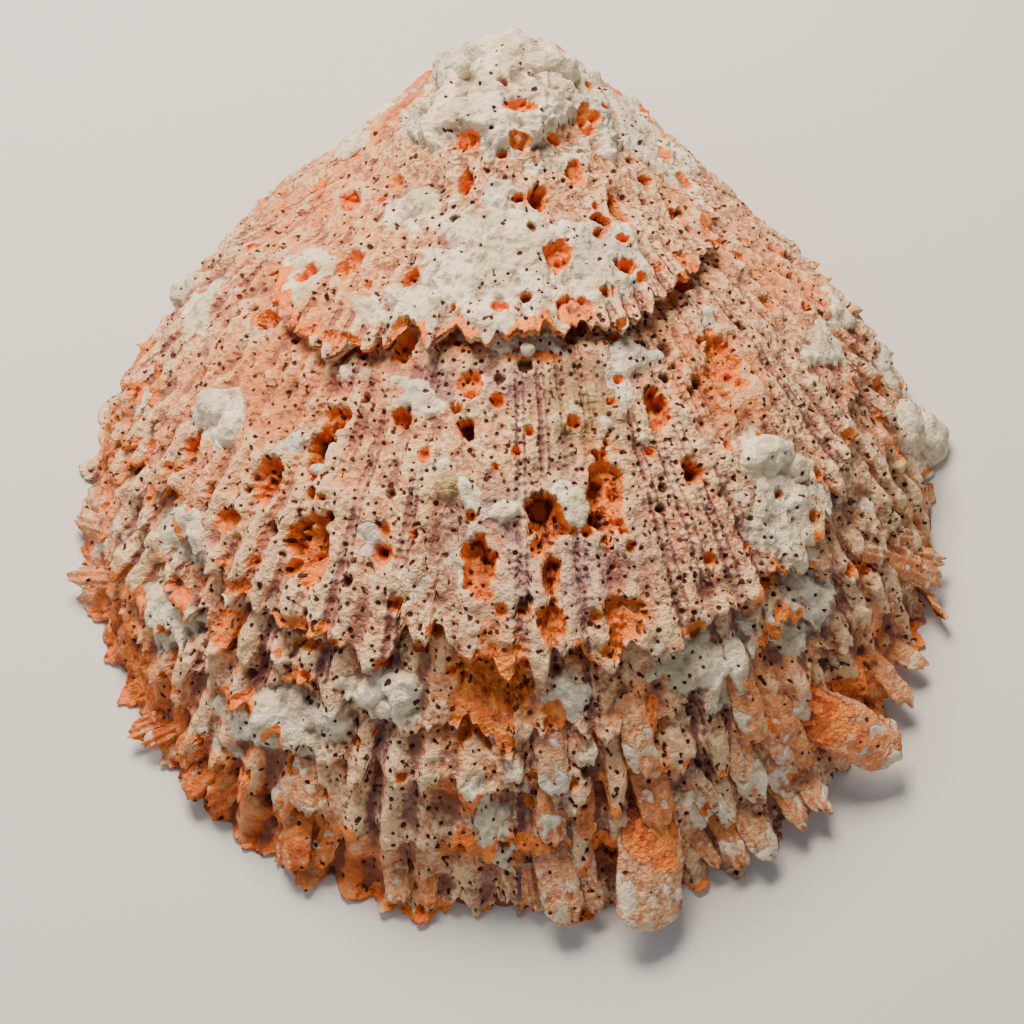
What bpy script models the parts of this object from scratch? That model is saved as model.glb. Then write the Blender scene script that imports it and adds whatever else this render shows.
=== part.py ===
# One valve of a spiny oyster, bored by sponges and crusted with lime, lying on its margin.
# X runs across the valve, Y from its front margin back to the hinge, and its margin lies at Z = 0.
# The valve grew as one piece, so it is one solid: its ribs, growth steps, frills and knobs are fused.

import math

import bmesh
import bpy
from mathutils import Vector, noise

MM = 0.001

# Driving dimensions, in millimetres.
MARGIN_RADIUS = 65.4
DOME_HEIGHT = 46.0
WALL = 10.0
RIM_WIDTH = 4.5
HINGE_LINE = 49.8
MARGIN_CRENULATION = 0.7
UMBO_HEIGHT = 13.0
RIB_COUNT = 50
RIB_HEIGHT = 1.1
RIB_BEND = 0.22

# Plan places of the dome's top, of the point that the ribs fan out from, and of the umbo's swelling.
CROWN = Vector((0.0, -4.0))
BEAK = Vector((0.0, 57.8))
UMBO_PLACE = 42.0
UMBO_HALF_WIDTH = 15.0
UMBO_HALF_LENGTH = 17.0

# How steeply the outside meets the margin, in degrees, at the front and at the hinge.
FRONT_SLOPE = 60.0
HINGE_SLOPE = 88.0
INSIDE_SLOPE = 62.0

# Growth steps, where one layer ends in a free edge over the next: (growth share, rise, overhang).
STEPS = (
    (0.48, 3.3, 2.0),
    (0.64, 1.3, 0.8),
    (0.80, 3.5, 2.4),
    (0.86, 2.2, 1.6),
    (0.91, 2.2, 1.6),
    (0.955, 2.0, 1.4),
)
ROWS_BEFORE_STEP = (5, 1, 2, 1, 1, 1)
FULL_STEP_RAY = 115.0
STEP_WANDER = 0.009
EDGE_JAG = 2.0
LOWEST_EDGE = 0.7
EDGE_CLIMB = 50.0
MOST_CLIMB = 2.0

# Knobs of lime crust and stumps of broken frills: (name, plan x, plan y, half width, half length, height).
KNOBS = (
    ("right_edge_knob", 61.0, 1.8, 4.5, 4.5, 4.5),
    ("right_shoulder_knob", 54.0, 15.8, 5.0, 4.0, 2.8),
    ("left_shoulder_knob", -52.5, 21.8, 4.5, 4.5, 3.2),
    ("left_lump", -44.0, -5.2, 4.5, 3.6, 4.0),
    ("right_lump", 37.0, -14.2, 5.5, 4.5, 4.0),
    ("left_plate", -50.0, -26.2, 7.0, 5.0, 2.6),
    ("lower_left_plate", -30.0, -48.2, 8.0, 5.0, 3.4),
    ("right_plate", 42.0, -28.2, 6.5, 5.0, 3.0),
    ("umbo_crust", -1.0, 14.8, 7.5, 9.0, 1.8),
)

# Hollows where the outer layer is bored away: (name, plan x, plan y, half width, half length, depth).
HOLLOWS = (
    ("left_hollow", -28.0, -15.2, 2.2, 4.2, 4.0),
    ("left_lower_hollow", -29.0, -28.2, 3.4, 5.0, 3.2),
    ("middle_hollow", 6.0, -25.7, 3.2, 3.4, 4.0),
    ("right_hollow", 14.5, -23.2, 2.9, 5.6, 3.8),
    ("centre_hollow", -4.0, -31.7, 2.6, 4.6, 3.0),
    ("upper_right_hollow", 21.0, -9.7, 2.6, 3.6, 3.4),
    ("arch_hollow", -2.5, -49.2, 5.0, 6.0, 3.2),
    ("lower_right_hollow", 16.0, -38.2, 3.2, 3.4, 3.0),
    ("umbo_hollow", 8.5, 10.8, 2.6, 3.8, 3.0),
    ("side_hollow", 31.0, -3.2, 3.6, 5.4, 3.0),
    ("shoulder_hollow", -35.5, 7.8, 3.4, 2.8, 2.8),
    ("frill_hollow", 53.0, -21.2, 3.0, 3.0, 2.6),
    ("edge_slot", -45.0, -12.2, 1.6, 3.6, 3.6),
)
HOLLOW_MOUTH = 1.6

# Frills, the hollow tongues that stand out from the ribs:
# (rib angle, growth share, length, width, lift, turn to the right), angles in degrees.
FRILLS = (
    (8.5, 0.94, 16.5, 11.0, 24.0, 0.0),
    (3.5, 0.95, 12.5, 7.5, 22.0, 0.0),
    (-1.0, 0.96, 7.0, 5.5, 22.0, 0.0),
    (-6.0, 0.96, 7.0, 5.5, 21.0, 0.0),
    (-11.0, 0.95, 8.0, 6.5, 24.0, 0.0),
    (-16.0, 0.95, 9.0, 7.5, 24.0, -4.0),
    (-21.0, 0.95, 9.5, 8.0, 24.0, -6.0),
    (-26.0, 0.94, 10.5, 8.0, 26.0, -8.0),
    (-31.0, 0.94, 9.5, 8.5, 26.0, -10.0),
    (-36.0, 0.94, 8.0, 8.0, 26.0, -12.0),
    (-42.0, 0.94, 7.0, 7.0, 28.0, -14.0),
    (-50.0, 0.95, 5.0, 7.0, 24.0, -16.0),
    (12.0, 0.95, 9.0, 5.5, 26.0, 4.0),
    (15.0, 0.95, 10.0, 5.5, 28.0, 4.0),
    (17.5, 0.94, 12.0, 6.5, 26.0, 6.0),
    (21.0, 0.93, 13.0, 7.0, 28.0, 10.0),
    (26.5, 0.90, 19.0, 12.0, 26.0, 20.0),
    (31.0, 0.94, 9.0, 6.5, 28.0, 16.0),
    (34.5, 0.94, 8.5, 6.0, 30.0, 18.0),
    (38.0, 0.95, 6.5, 5.5, 30.0, 20.0),
    (42.0, 0.95, 6.0, 6.0, 30.0, 20.0),
    (9.0, 0.83, 12.0, 7.5, 28.0, 0.0),
    (16.0, 0.86, 10.0, 6.5, 32.0, 4.0),
    (22.0, 0.84, 11.0, 7.5, 30.0, 8.0),
    (-8.0, 0.84, 9.0, 6.5, 26.0, 0.0),
    (-24.0, 0.86, 8.0, 7.0, 26.0, -6.0),
)
FRILL_ROOT = 5.0
FRILL_THICKNESS = 1.8
FRILL_ARCH = 0.22
LOWEST_TIP = 3.2


def bell(offset, half_width):
    """A smooth bump of height 1 at offset 0."""
    return math.exp(-0.5 * (offset / half_width) ** 2)


def turned(angle):
    """An angle in degrees brought between -180 and 180."""
    return (angle + 180.0) % 360.0 - 180.0


def margin_radius(angle):
    """Distance from the crown's axis to the margin, with the beak's nose and the ears' hollows beside it."""
    nose = 12.5 * bell(turned(angle - 90.0), 10.3)
    right_hollow = 3.6 * bell(turned(angle - 44.0), 13.0)
    left_hollow = 3.2 * bell(turned(angle - 146.0), 14.0)
    return MARGIN_RADIUS + nose - right_hollow - left_hollow


def margin_point(angle):
    turn = math.radians(angle)
    return CROWN + margin_radius(angle) * Vector((math.cos(turn), math.sin(turn)))


def rib_place(edge, share):
    """Plan place on the rib that ends at this margin point; flank ribs curve outwards as they grow."""
    ray = edge - BEAK
    middle = BEAK + 0.5 * ray
    sideways = min(1.0, 1.0 + ray.y / ray.length)
    control = middle + (CROWN - middle).normalized() * RIB_BEND * ray.length * sideways
    return (1.0 - share) ** 2 * BEAK + 2.0 * share * (1.0 - share) * control + share**2 * edge


def outside_height(place):
    """Height of the smooth outside over a plan place."""
    arm = place - CROWN
    angle = math.degrees(math.atan2(arm.y, arm.x))
    share = min(arm.length / margin_radius(angle), 1.0)
    towards_hinge = 0.5 + 0.5 * math.sin(math.radians(angle))
    slope = math.radians(FRONT_SLOPE + (HINGE_SLOPE - FRONT_SLOPE) * towards_hinge**1.6)
    sine = share * math.sin(slope)
    dome = DOME_HEIGHT * (math.sqrt(1.0 - sine**2) - math.cos(slope)) / (1.0 - math.cos(slope))
    edge_fade = 1.0 - (math.asin(sine) / slope) ** 8
    umbo = bell(place.x, UMBO_HALF_WIDTH) * bell(place.y - UMBO_PLACE, UMBO_HALF_LENGTH)
    return dome + UMBO_HEIGHT * umbo * edge_fade


def outside_normal(place):
    """Outward normal of the smooth outside, from its slopes a short way off."""
    reach = 0.5
    along_x = outside_height(place + Vector((reach, 0.0))) - outside_height(place - Vector((reach, 0.0)))
    along_y = outside_height(place + Vector((0.0, reach))) - outside_height(place - Vector((0.0, reach)))
    return Vector((-along_x, -along_y, 2.0 * reach)).normalized()


def evenly_spaced_margin(count):
    """Angles from the crown that cut the margin into stretches of one length."""
    fine = 1440
    angles = [360.0 * i / fine for i in range(fine + 1)]
    lengths = [0.0]
    for before, after in zip(angles, angles[1:]):
        lengths.append(lengths[-1] + (margin_point(after) - margin_point(before)).length)
    spaced = []
    i = 0
    for k in range(count):
        wanted = lengths[-1] * k / count
        while lengths[i + 1] < wanted:
            i += 1
        part = (wanted - lengths[i]) / (lengths[i + 1] - lengths[i])
        spaced.append(angles[i] + part * (angles[i + 1] - angles[i]))
    return spaced


def growth_rows():
    """(share, rise, overhang) of each ring from the beak to the last free edge, crest and foot of each step included."""
    rows = []
    start = 0.02
    for (share, rise, overhang), count in zip(STEPS, ROWS_BEFORE_STEP):
        for i in range(count):
            part = (i + 0.5) / count
            rows.append((start + (share - start) * part, rise * part**1.5, 0.0))
        rows.append((share, rise, overhang))
        rows.append((share, 0.1 * rise, -0.3 * overhang))
        start = share
    rows.append((0.978, 0.8, 0.0))
    return rows


def relief(place, normal_height, column, share, fullness):
    """How far the surface stands off the smooth dome: ribs and an uneven crust."""
    rib = RIB_HEIGHT if column % 2 else -RIB_HEIGHT
    strength = 0.4 + 0.9 * abs(noise.noise(Vector((column // 2 * 0.73, 3.1, share * 5.0))))
    height = rib * strength * fullness * min(1.0, share * 1.3) * (1.0 - bell(share, 0.2))
    crust = noise.noise(Vector((place.x, place.y, normal_height)) * 0.11)
    return height + 1.3 * crust


def make_valve_mesh():
    """The valve without its frills: a UV sphere whose rings become growth lines, rim and inside."""
    columns = 2 * RIB_COUNT
    margin_angles = evenly_spaced_margin(columns)
    outer_rows = growth_rows()
    inner_shares = (0.88, 0.68, 0.38)
    ring_count = len(outer_rows) + 2 + len(inner_shares)
    mesh = bmesh.new()
    bmesh.ops.create_uvsphere(mesh, u_segments=columns, v_segments=ring_count + 1, radius=1.0)

    def placed(direction):
        latitude = math.acos(max(-1.0, min(1.0, direction.z))) / math.pi * (ring_count + 1)
        ring = round(latitude)
        if ring == 0:
            return Vector((BEAK.x, BEAK.y, outside_height(BEAK) + 1.0))
        if ring == ring_count + 1:
            return Vector((CROWN.x, CROWN.y, DOME_HEIGHT - WALL))
        column = round(math.atan2(direction.y, direction.x) / (2.0 * math.pi) * columns) % columns
        angle = margin_angles[column]
        edge = margin_point(angle)
        if ring <= len(outer_rows):
            return outer_point(edge, column, outer_rows[ring - 1])
        outward = (edge - CROWN).normalized()
        if ring == len(outer_rows) + 1:
            edge += outward * MARGIN_CRENULATION * (1.0 if column % 2 else -1.0)
            return Vector((edge.x, edge.y, 0.0))
        inner_edge = edge - outward * RIM_WIDTH
        if inner_edge.y > HINGE_LINE:
            inner_edge = CROWN + outward * (HINGE_LINE - CROWN.y) / outward.y
        if ring == len(outer_rows) + 2:
            return Vector((inner_edge.x, inner_edge.y, 0.0))
        share = inner_shares[ring - len(outer_rows) - 3]
        place = CROWN + (inner_edge - CROWN) * share
        slope = math.radians(INSIDE_SLOPE)
        sine = share * math.sin(slope)
        dome = (math.sqrt(1.0 - sine**2) - math.cos(slope)) / (1.0 - math.cos(slope))
        return Vector((place.x, place.y, (DOME_HEIGHT - WALL) * dome))

    for vertex in mesh.verts:
        vertex.co = placed(vertex.co.copy()) * MM
    bmesh.ops.recalc_face_normals(mesh, faces=mesh.faces)
    return mesh


def outer_point(edge, column, row):
    """A point of the outside, on the line from the beak to the margin at this column."""
    share, rise, overhang = row
    ray = edge - BEAK
    fullness = min(1.0, ray.length / FULL_STEP_RAY) ** 1.5
    wander = STEP_WANDER * noise.noise(Vector((edge.x, edge.y, share * 90.0)) * 0.045)
    share = min(share + wander * min(1.0, 3.0 * (1.0 - share)), 0.985)
    place = rib_place(edge, share)
    height = outside_height(place)
    normal = outside_normal(place)
    off = rise * fullness + relief(place, height, column, share, fullness)
    point = Vector((place.x, place.y, height)) + normal * off
    forward = Vector((ray.x, ray.y, 0.0)).normalized()
    forward = (forward - normal * forward.dot(normal)).normalized()
    jag = EDGE_JAG * noise.noise(Vector((column * 0.61, share * 40.0, 7.7))) if overhang > 0.0 else 0.0
    point += forward * (overhang + jag) * fullness
    point.z = max(point.z, LOWEST_EDGE + min(EDGE_CLIMB * (1.0 - share), MOST_CLIMB))
    return point


def make_frill(rib_angle, share, length, width, lift, sideways):
    """A tongue with a rounded tip, arched across and lifted off the surface, its root inside the wall."""
    turn = math.radians(rib_angle)
    heading = Vector((math.sin(turn), -math.cos(turn)))
    reach = 0.0
    while (BEAK + heading * reach - CROWN).length < margin_radius_towards(BEAK + heading * reach):
        reach += 0.25
    root = BEAK + heading * reach * share
    normal = outside_normal(root)
    turn = math.radians(rib_angle + sideways)
    level = Vector((math.sin(turn), -math.cos(turn), 0.0))
    down_slope = (level - normal * level.dot(normal)).normalized()
    base = Vector((root.x, root.y, outside_height(root)))
    forward = (down_slope * math.cos(math.radians(lift)) + normal * math.sin(math.radians(lift))).normalized()
    drop_limit = (base.z - LOWEST_TIP) / length
    if -forward.z > drop_limit:
        forward = (level * math.sqrt(1.0 - drop_limit**2) - Vector((0.0, 0.0, drop_limit))).normalized()
    across = level.cross(Vector((0.0, 0.0, 1.0)))
    up = across.cross(forward)
    mesh = bmesh.new()
    bmesh.ops.create_grid(mesh, x_segments=3, y_segments=3, size=1.0)
    for vertex in mesh.verts:
        side, along = vertex.co.x, 0.5 + 0.5 * vertex.co.y
        past_shoulder = max(0.0, along - 0.6) / 0.4
        half_width = 0.5 * width * (0.85 + 0.15 * along) * math.sqrt(1.0 - 0.75 * past_shoulder**2)
        arch = FRILL_ARCH * width * (1.0 - side**2) * (1.0 - 0.4 * along)
        out = along * (length + FRILL_ROOT) - FRILL_ROOT
        vertex.co = (base + forward * out + across * side * half_width + up * arch) * MM
    underside = bmesh.ops.extrude_face_region(mesh, geom=mesh.faces[:], use_keep_orig=True)
    lowered = [item for item in underside["geom"] if isinstance(item, bmesh.types.BMVert)]
    bmesh.ops.translate(mesh, verts=lowered, vec=-up * FRILL_THICKNESS * MM)
    bmesh.ops.recalc_face_normals(mesh, faces=mesh.faces)
    return mesh


def margin_radius_towards(place):
    arm = place - CROWN
    return margin_radius(math.degrees(math.atan2(arm.y, arm.x)))


def add_object(name, mesh, collection):
    data = bpy.data.meshes.new(name)
    mesh.to_mesh(data)
    mesh.free()
    made = bpy.data.objects.new(name, data)
    collection.objects.link(made)
    return made


def make_helper(made):
    made.hide_render = True
    made.display_type = "WIRE"
    return made


def add_boolean(target, tool, operation):
    modifier = target.modifiers.new(tool.name, "BOOLEAN")
    modifier.operation = operation
    modifier.object = tool


def make_ellipsoid(name, centre, half_sizes, up, collection):
    mesh = bmesh.new()
    bmesh.ops.create_icosphere(mesh, subdivisions=2 if max(half_sizes) > 15.0 else 1, radius=1.0)
    bmesh.ops.scale(mesh, verts=mesh.verts, vec=Vector(half_sizes) * MM)
    turn = up.to_track_quat("Z", "Y").to_matrix()
    bmesh.ops.rotate(mesh, verts=mesh.verts, cent=Vector(), matrix=turn)
    bmesh.ops.translate(mesh, verts=mesh.verts, vec=Vector(centre) * MM)
    return make_helper(add_object(name, mesh, collection))


def add_knobs_and_hollows(valve, collection):
    """Lumps stand on the outside and bored hollows are sunk into it, each square to the surface."""
    for name, x, y, half_width, half_length, height in KNOBS:
        up = outside_normal(Vector((x, y)))
        centre = Vector((x, y, outside_height(Vector((x, y)))))
        knob = make_ellipsoid(name, centre, (half_width, half_length, height), up, collection)
        add_boolean(valve, knob, "UNION")
    for name, x, y, half_width, half_length, depth in HOLLOWS:
        up = outside_normal(Vector((x, y)))
        centre = Vector((x, y, outside_height(Vector((x, y))))) + up * HOLLOW_MOUTH
        half_sizes = (half_width, half_length, depth + HOLLOW_MOUTH)
        add_boolean(valve, make_ellipsoid(name, centre, half_sizes, up, collection), "DIFFERENCE")


def cut_hinge(valve, collection):
    """The hinge plate lies above the margin's plane, with two teeth, two sockets and the ligament's pit."""
    up = Vector((0.0, 0.0, 1.0))
    plate = make_ellipsoid("hinge_recess", (0.0, 61.8, 0.0), (22.0, 7.5, 4.2), up, collection)
    add_boolean(valve, plate, "DIFFERENCE")
    ligament_pit = make_ellipsoid("ligament_pit", (0.0, 62.8, 3.5), (3.0, 5.0, 5.0), up, collection)
    add_boolean(valve, ligament_pit, "DIFFERENCE")
    for side in (-1.0, 1.0):
        name = "left" if side < 0.0 else "right"
        socket = make_ellipsoid(f"{name}_socket", (side * 6.8, 61.3, 3.5), (2.6, 3.6, 4.5), up, collection)
        add_boolean(valve, socket, "DIFFERENCE")
        tooth = make_ellipsoid(f"{name}_tooth", (side * 13.0, 60.8, 5.4), (3.6, 4.0, 4.8), up, collection)
        add_boolean(valve, tooth, "UNION")


def shell_material():
    """Chalky shell lime, matt and pinkish cream."""
    material = bpy.data.materials.new("shell_lime")
    material.use_nodes = True
    shader = material.node_tree.nodes["Principled BSDF"]
    shader.inputs["Base Color"].default_value = (0.62, 0.44, 0.33, 1.0)
    shader.inputs["Roughness"].default_value = 0.8
    shader.inputs["Metallic"].default_value = 0.0
    return material


def main():
    for leftover in list(bpy.data.objects):
        bpy.data.objects.remove(leftover)
    parts = bpy.data.collections.new("spiny_oyster_shell")
    tools = bpy.data.collections.new("fused_shapes_and_cutters")
    bpy.context.scene.collection.children.link(parts)
    bpy.context.scene.collection.children.link(tools)

    valve = add_object("valve", make_valve_mesh(), parts)
    valve.data.materials.append(shell_material())
    for number, frill in enumerate(FRILLS, start=1):
        tool = make_helper(add_object(f"frill_{number:02d}", make_frill(*frill), tools))
        add_boolean(valve, tool, "UNION")
    add_knobs_and_hollows(valve, tools)
    cut_hinge(valve, tools)
    for face in valve.data.polygons:
        face.use_smooth = False


main()
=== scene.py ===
import math

import bmesh
import bpy
import numpy as np
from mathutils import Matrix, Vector


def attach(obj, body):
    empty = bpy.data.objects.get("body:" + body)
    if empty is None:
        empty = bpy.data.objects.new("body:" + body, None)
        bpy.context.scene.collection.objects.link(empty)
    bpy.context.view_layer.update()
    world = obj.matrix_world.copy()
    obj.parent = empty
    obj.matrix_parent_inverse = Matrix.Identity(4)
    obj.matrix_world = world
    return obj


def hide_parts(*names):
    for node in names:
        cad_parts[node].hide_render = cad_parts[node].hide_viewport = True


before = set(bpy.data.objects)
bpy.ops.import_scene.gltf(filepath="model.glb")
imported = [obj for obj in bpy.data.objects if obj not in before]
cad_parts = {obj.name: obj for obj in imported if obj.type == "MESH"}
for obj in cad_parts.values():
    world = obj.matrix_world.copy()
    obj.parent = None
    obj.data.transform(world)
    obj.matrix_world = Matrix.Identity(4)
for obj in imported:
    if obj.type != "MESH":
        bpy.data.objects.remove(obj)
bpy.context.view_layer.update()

# Floor, lights and camera
# A pale matt table top under soft studio light. The camera looks down on the front of the valve,
# 63 degrees above the table, as the photograph does.


def linear(hex_colour):
    """An sRGB hex colour as the linear colour that a shader takes."""
    channels = [int(hex_colour[i:i + 2], 16) / 255.0 for i in (1, 3, 5)]
    return [c / 12.92 if c <= 0.04045 else ((c + 0.055) / 1.055) ** 2.4 for c in channels] + [1.0]


def add_node(material, kind, output, inputs=(), **settings):
    """Adds one node with its settings and its inputs, sockets or plain values, and returns one output."""
    tree = material.node_tree
    node = tree.nodes.new(kind)
    for name, value in settings.items():
        setattr(node, name, value)
    in_use = [socket for socket in node.inputs if socket.enabled]
    for name, value in inputs:
        socket = in_use[name] if isinstance(name, int) else next(s for s in in_use if s.name == name)
        if isinstance(value, bpy.types.NodeSocket):
            tree.links.new(value, socket)
        else:
            socket.default_value = value
    if output is None:
        return node
    return next(socket for socket in node.outputs if socket.enabled and socket.name == output)


TABLE_HALF_SIDE = 3.0

table_paint = bpy.data.materials.new("matt_table_paint")
# Matt pale grey wall paint, rolled on, with no gloss.
table_paint.use_nodes = True
table_shader = table_paint.node_tree.nodes["Principled BSDF"]
table_shader.inputs["Base Color"].default_value = linear("#cfd0d0")
table_shader.inputs["Roughness"].default_value = 0.9

table_mesh = bmesh.new()
bmesh.ops.create_grid(table_mesh, x_segments=1, y_segments=1, size=TABLE_HALF_SIDE)
table_data = bpy.data.meshes.new("table_top")
table_mesh.to_mesh(table_data)
table_mesh.free()
table_top = bpy.data.objects.new("table_top", table_data)
table_top.data.materials.append(table_paint)
bpy.context.scene.collection.objects.link(table_top)

CAMERA_RISE = math.radians(63.0)
CAMERA_DISTANCE = 0.400
CAMERA_AIM = np.array((0.0001, -0.0147, 0.018))
PICTURE_SIDE = 1024
FOCAL_PIXELS = 2760.0
SENSOR_WIDTH = 36.0

camera_back = np.array((0.0, -math.cos(CAMERA_RISE), math.sin(CAMERA_RISE)))
camera_up = np.array((0.0, math.sin(CAMERA_RISE), math.cos(CAMERA_RISE)))
camera_place = CAMERA_AIM + camera_back * CAMERA_DISTANCE
camera_data = bpy.data.cameras.new("studio_camera")
camera_data.lens = SENSOR_WIDTH * FOCAL_PIXELS / PICTURE_SIDE
camera_data.sensor_width = SENSOR_WIDTH
camera = bpy.data.objects.new("studio_camera", camera_data)
camera.location = camera_place
camera.rotation_euler = (math.pi / 2.0 - CAMERA_RISE, 0.0, 0.0)
bpy.context.scene.collection.objects.link(camera)
bpy.context.scene.camera = camera

# (name, place in metres, side of the square panel in metres, watts, colour)
STUDIO_LIGHTS = (
    ("overhead_softbox", (-0.10, 0.26, 0.45), 0.24, 6.9, "#ffead2"),
    ("left_softbox", (-0.75, -0.05, 0.45), 0.50, 1.5, "#f4f6ff"),
    ("front_fill", (0.35, -0.80, 0.40), 0.70, 1.4, "#ffffff"),
)
LIGHTS_AIM = Vector((0.0, 0.0, 0.02))
for light_name, light_place, light_side, light_watts, light_colour in STUDIO_LIGHTS:
    light_data = bpy.data.lights.new(light_name, "AREA")
    light_data.size = light_side
    light_data.energy = light_watts
    light_data.color = linear(light_colour)[:3]
    light = bpy.data.objects.new(light_name, light_data)
    light.location = light_place
    light.rotation_euler = (LIGHTS_AIM - Vector(light_place)).to_track_quat("-Z", "Y").to_euler()
    bpy.context.scene.collection.objects.link(light)

ROOM_STRENGTH = 0.22
room = bpy.data.worlds.new("studio_room")
room.use_nodes = True
room_background = room.node_tree.nodes["Background"]
room_background.inputs["Color"].default_value = linear("#e8ebf0")
room_background.inputs["Strength"].default_value = ROOM_STRENGTH
bpy.context.scene.world = room
# Valve body
# The thick inner layers of the shell, laid down by the animal against the older outside: smooth
# porcelain within, with the muscle's scar, a toothed hinge plate and a scalloped margin. Its own
# outside is hidden under the growth layers and shows only as the floor of the deepest borings.

MM = 0.001
CROWN = np.array((0.0, -4.0))
BEAK = np.array((0.0, 57.8))
MARGIN_RADIUS = 65.4
DOME_HEIGHT = 46.0
CROWN_WALL = 10.0
FRONT_SLOPE = 60.0
HINGE_SLOPE = 88.0
UMBO_HEIGHT = 12.4
UMBO_PLACE = 42.0
UMBO_HALF_WIDTH = 13.6
UMBO_HALF_LENGTH = 17.0
RIB_BEND = 0.22
RIB_COUNT = 74


def bell(offset, half_width):
    return np.exp(-0.5 * (offset / half_width) ** 2)


def smooth(value):
    """Eased 0 to 1 for values from 0 to 1, and flat outside."""
    value = np.clip(value, 0.0, 1.0)
    return value * value * (3.0 - 2.0 * value)


def margin_radius(angle):
    """Distance in millimetres from the crown's axis to the margin, for an angle in degrees from +X."""
    turned = (angle + 180.0) % 360.0 - 180.0
    nose = 12.5 * bell(turned - 90.0, 10.3)
    right_hollow = 4.6 * bell(turned - 44.0, 13.0)
    left_hollow = 2.4 * bell(turned - 146.0, 14.0)
    right_flat = 2.2 * bell(turned + 14.0, 26.0)
    left_flat = 0.8 * bell(angle % 360.0 - 188.0, 26.0)
    return MARGIN_RADIUS + nose - right_hollow - left_hollow - right_flat - left_flat


def margin_point(angle):
    turn = np.radians(angle)
    return CROWN + margin_radius(angle)[..., None] * np.stack((np.cos(turn), np.sin(turn)), -1)


def outside_height(place):
    """Height in millimetres of the smooth outside over plan places."""
    arm = place - CROWN
    angle = np.degrees(np.arctan2(arm[..., 1], arm[..., 0]))
    share = np.minimum(np.linalg.norm(arm, axis=-1) / margin_radius(angle), 1.0)
    towards_hinge = 0.5 + 0.5 * np.sin(np.radians(angle))
    slope = np.radians(FRONT_SLOPE + (HINGE_SLOPE - FRONT_SLOPE) * towards_hinge**1.6)
    sine = share * np.sin(slope)
    dome = DOME_HEIGHT * (np.sqrt(1.0 - sine**2) - np.cos(slope)) / (1.0 - np.cos(slope))
    edge_fade = 1.0 - (np.arcsin(sine) / slope) ** 8
    umbo = bell(place[..., 0], UMBO_HALF_WIDTH) * bell(place[..., 1] - UMBO_PLACE, UMBO_HALF_LENGTH)
    return dome + UMBO_HEIGHT * umbo * edge_fade


def unit(vectors):
    return vectors / (np.linalg.norm(vectors, axis=-1, keepdims=True) + 1e-9)


def outside_frame(place):
    """Points of the smooth outside, with their outward normals and their directions away from the beak."""
    reach = 0.4
    step_x, step_y = np.array((reach, 0.0)), np.array((0.0, reach))
    slope_x = outside_height(place + step_x) - outside_height(place - step_x)
    slope_y = outside_height(place + step_y) - outside_height(place - step_y)
    normal = unit(np.stack((-slope_x, -slope_y, np.full_like(slope_x, 2.0 * reach)), -1))
    away = place - BEAK
    level = unit(np.concatenate((away, np.zeros(away.shape[:-1] + (1,))), -1))
    forward = unit(level - normal * (level * normal).sum(-1, keepdims=True))
    point = np.concatenate((place, outside_height(place)[..., None]), -1)
    return point, normal, forward


def rib_place(edge, share):
    """Plan places along the ribs that end at these margin points; flank ribs curve outwards."""
    ray = edge - BEAK
    length = np.linalg.norm(ray, axis=-1, keepdims=True)
    middle = BEAK + 0.5 * ray
    sideways = np.minimum(1.0, 1.0 + ray[..., 1:2] / length)
    control = middle + unit(CROWN - middle) * RIB_BEND * length * sideways
    share = share[..., None]
    return (1.0 - share) ** 2 * BEAK + 2.0 * share * (1.0 - share) * control + share**2 * edge


def scatter(cells, seed, draws=1):
    """Repeatable random numbers from 0 to 1 for whole-number cells, one set for each cell."""
    mixed = np.zeros(cells.shape[:-1], np.uint64) + np.uint64(seed * 7919 + 17)
    for axis in range(cells.shape[-1]):
        number = cells[..., axis].astype(np.int64).astype(np.uint64)
        mixed = (mixed ^ number) * np.uint64(0x9E3779B97F4A7C15)
        mixed ^= mixed >> np.uint64(29)
    numbers = []
    for draw in range(draws):
        mixed = (mixed + np.uint64(draw + 1)) * np.uint64(0xBF58476D1CE4E5B9)
        mixed ^= mixed >> np.uint64(32)
        numbers.append((mixed & np.uint64(0xFFFFFF)).astype(np.float64) / 0xFFFFFF)
    return np.stack(numbers, -1)


def ripple(point, size, seed=0):
    """Smooth noise from about -1 to 1 whose bumps are about size millimetres across."""
    scaled = point / size
    cell = np.floor(scaled)
    part = scaled - cell
    eased = part**3 * (part * (part * 6.0 - 15.0) + 10.0)
    total = np.zeros(point.shape[:-1])
    for corner in range(8):
        offset = np.array((corner & 1, corner >> 1 & 1, corner >> 2 & 1))
        pull = scatter(cell + offset, seed, 3) * 2.0 - 1.0
        weight = np.where(offset == 1, eased, 1.0 - eased).prod(-1)
        total += weight * (pull * (part - offset)).sum(-1)
    return total * 1.7


def rough(point, size, seed=0, octaves=3):
    """Ripples of halving size and strength, added up."""
    return sum(ripple(point, size / 2**k, seed + 31 * k) / 2**k for k in range(octaves))


def margin_columns(count, front_density=3.0):
    """Angles of columns round the crown, closer together in front, and the rib number at each."""
    fine = np.linspace(90.0, 450.0, 7201)
    points = margin_point(fine)
    steps = np.linalg.norm(np.diff(points, axis=0), axis=1)
    arc = np.concatenate(((0.0,), np.cumsum(steps)))
    middle = 0.5 * (fine[1:] + fine[:-1])
    density = 1.0 + (front_density - 1.0) * smooth(1.1 - 1.1 * np.sin(np.radians(middle)))
    filled = np.concatenate(((0.0,), np.cumsum(steps * density)))
    wanted = np.linspace(0.0, filled[-1], count + 1)
    return np.interp(wanted, filled, fine), np.interp(wanted, filled, arc / arc[-1] * RIB_COUNT)


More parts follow.
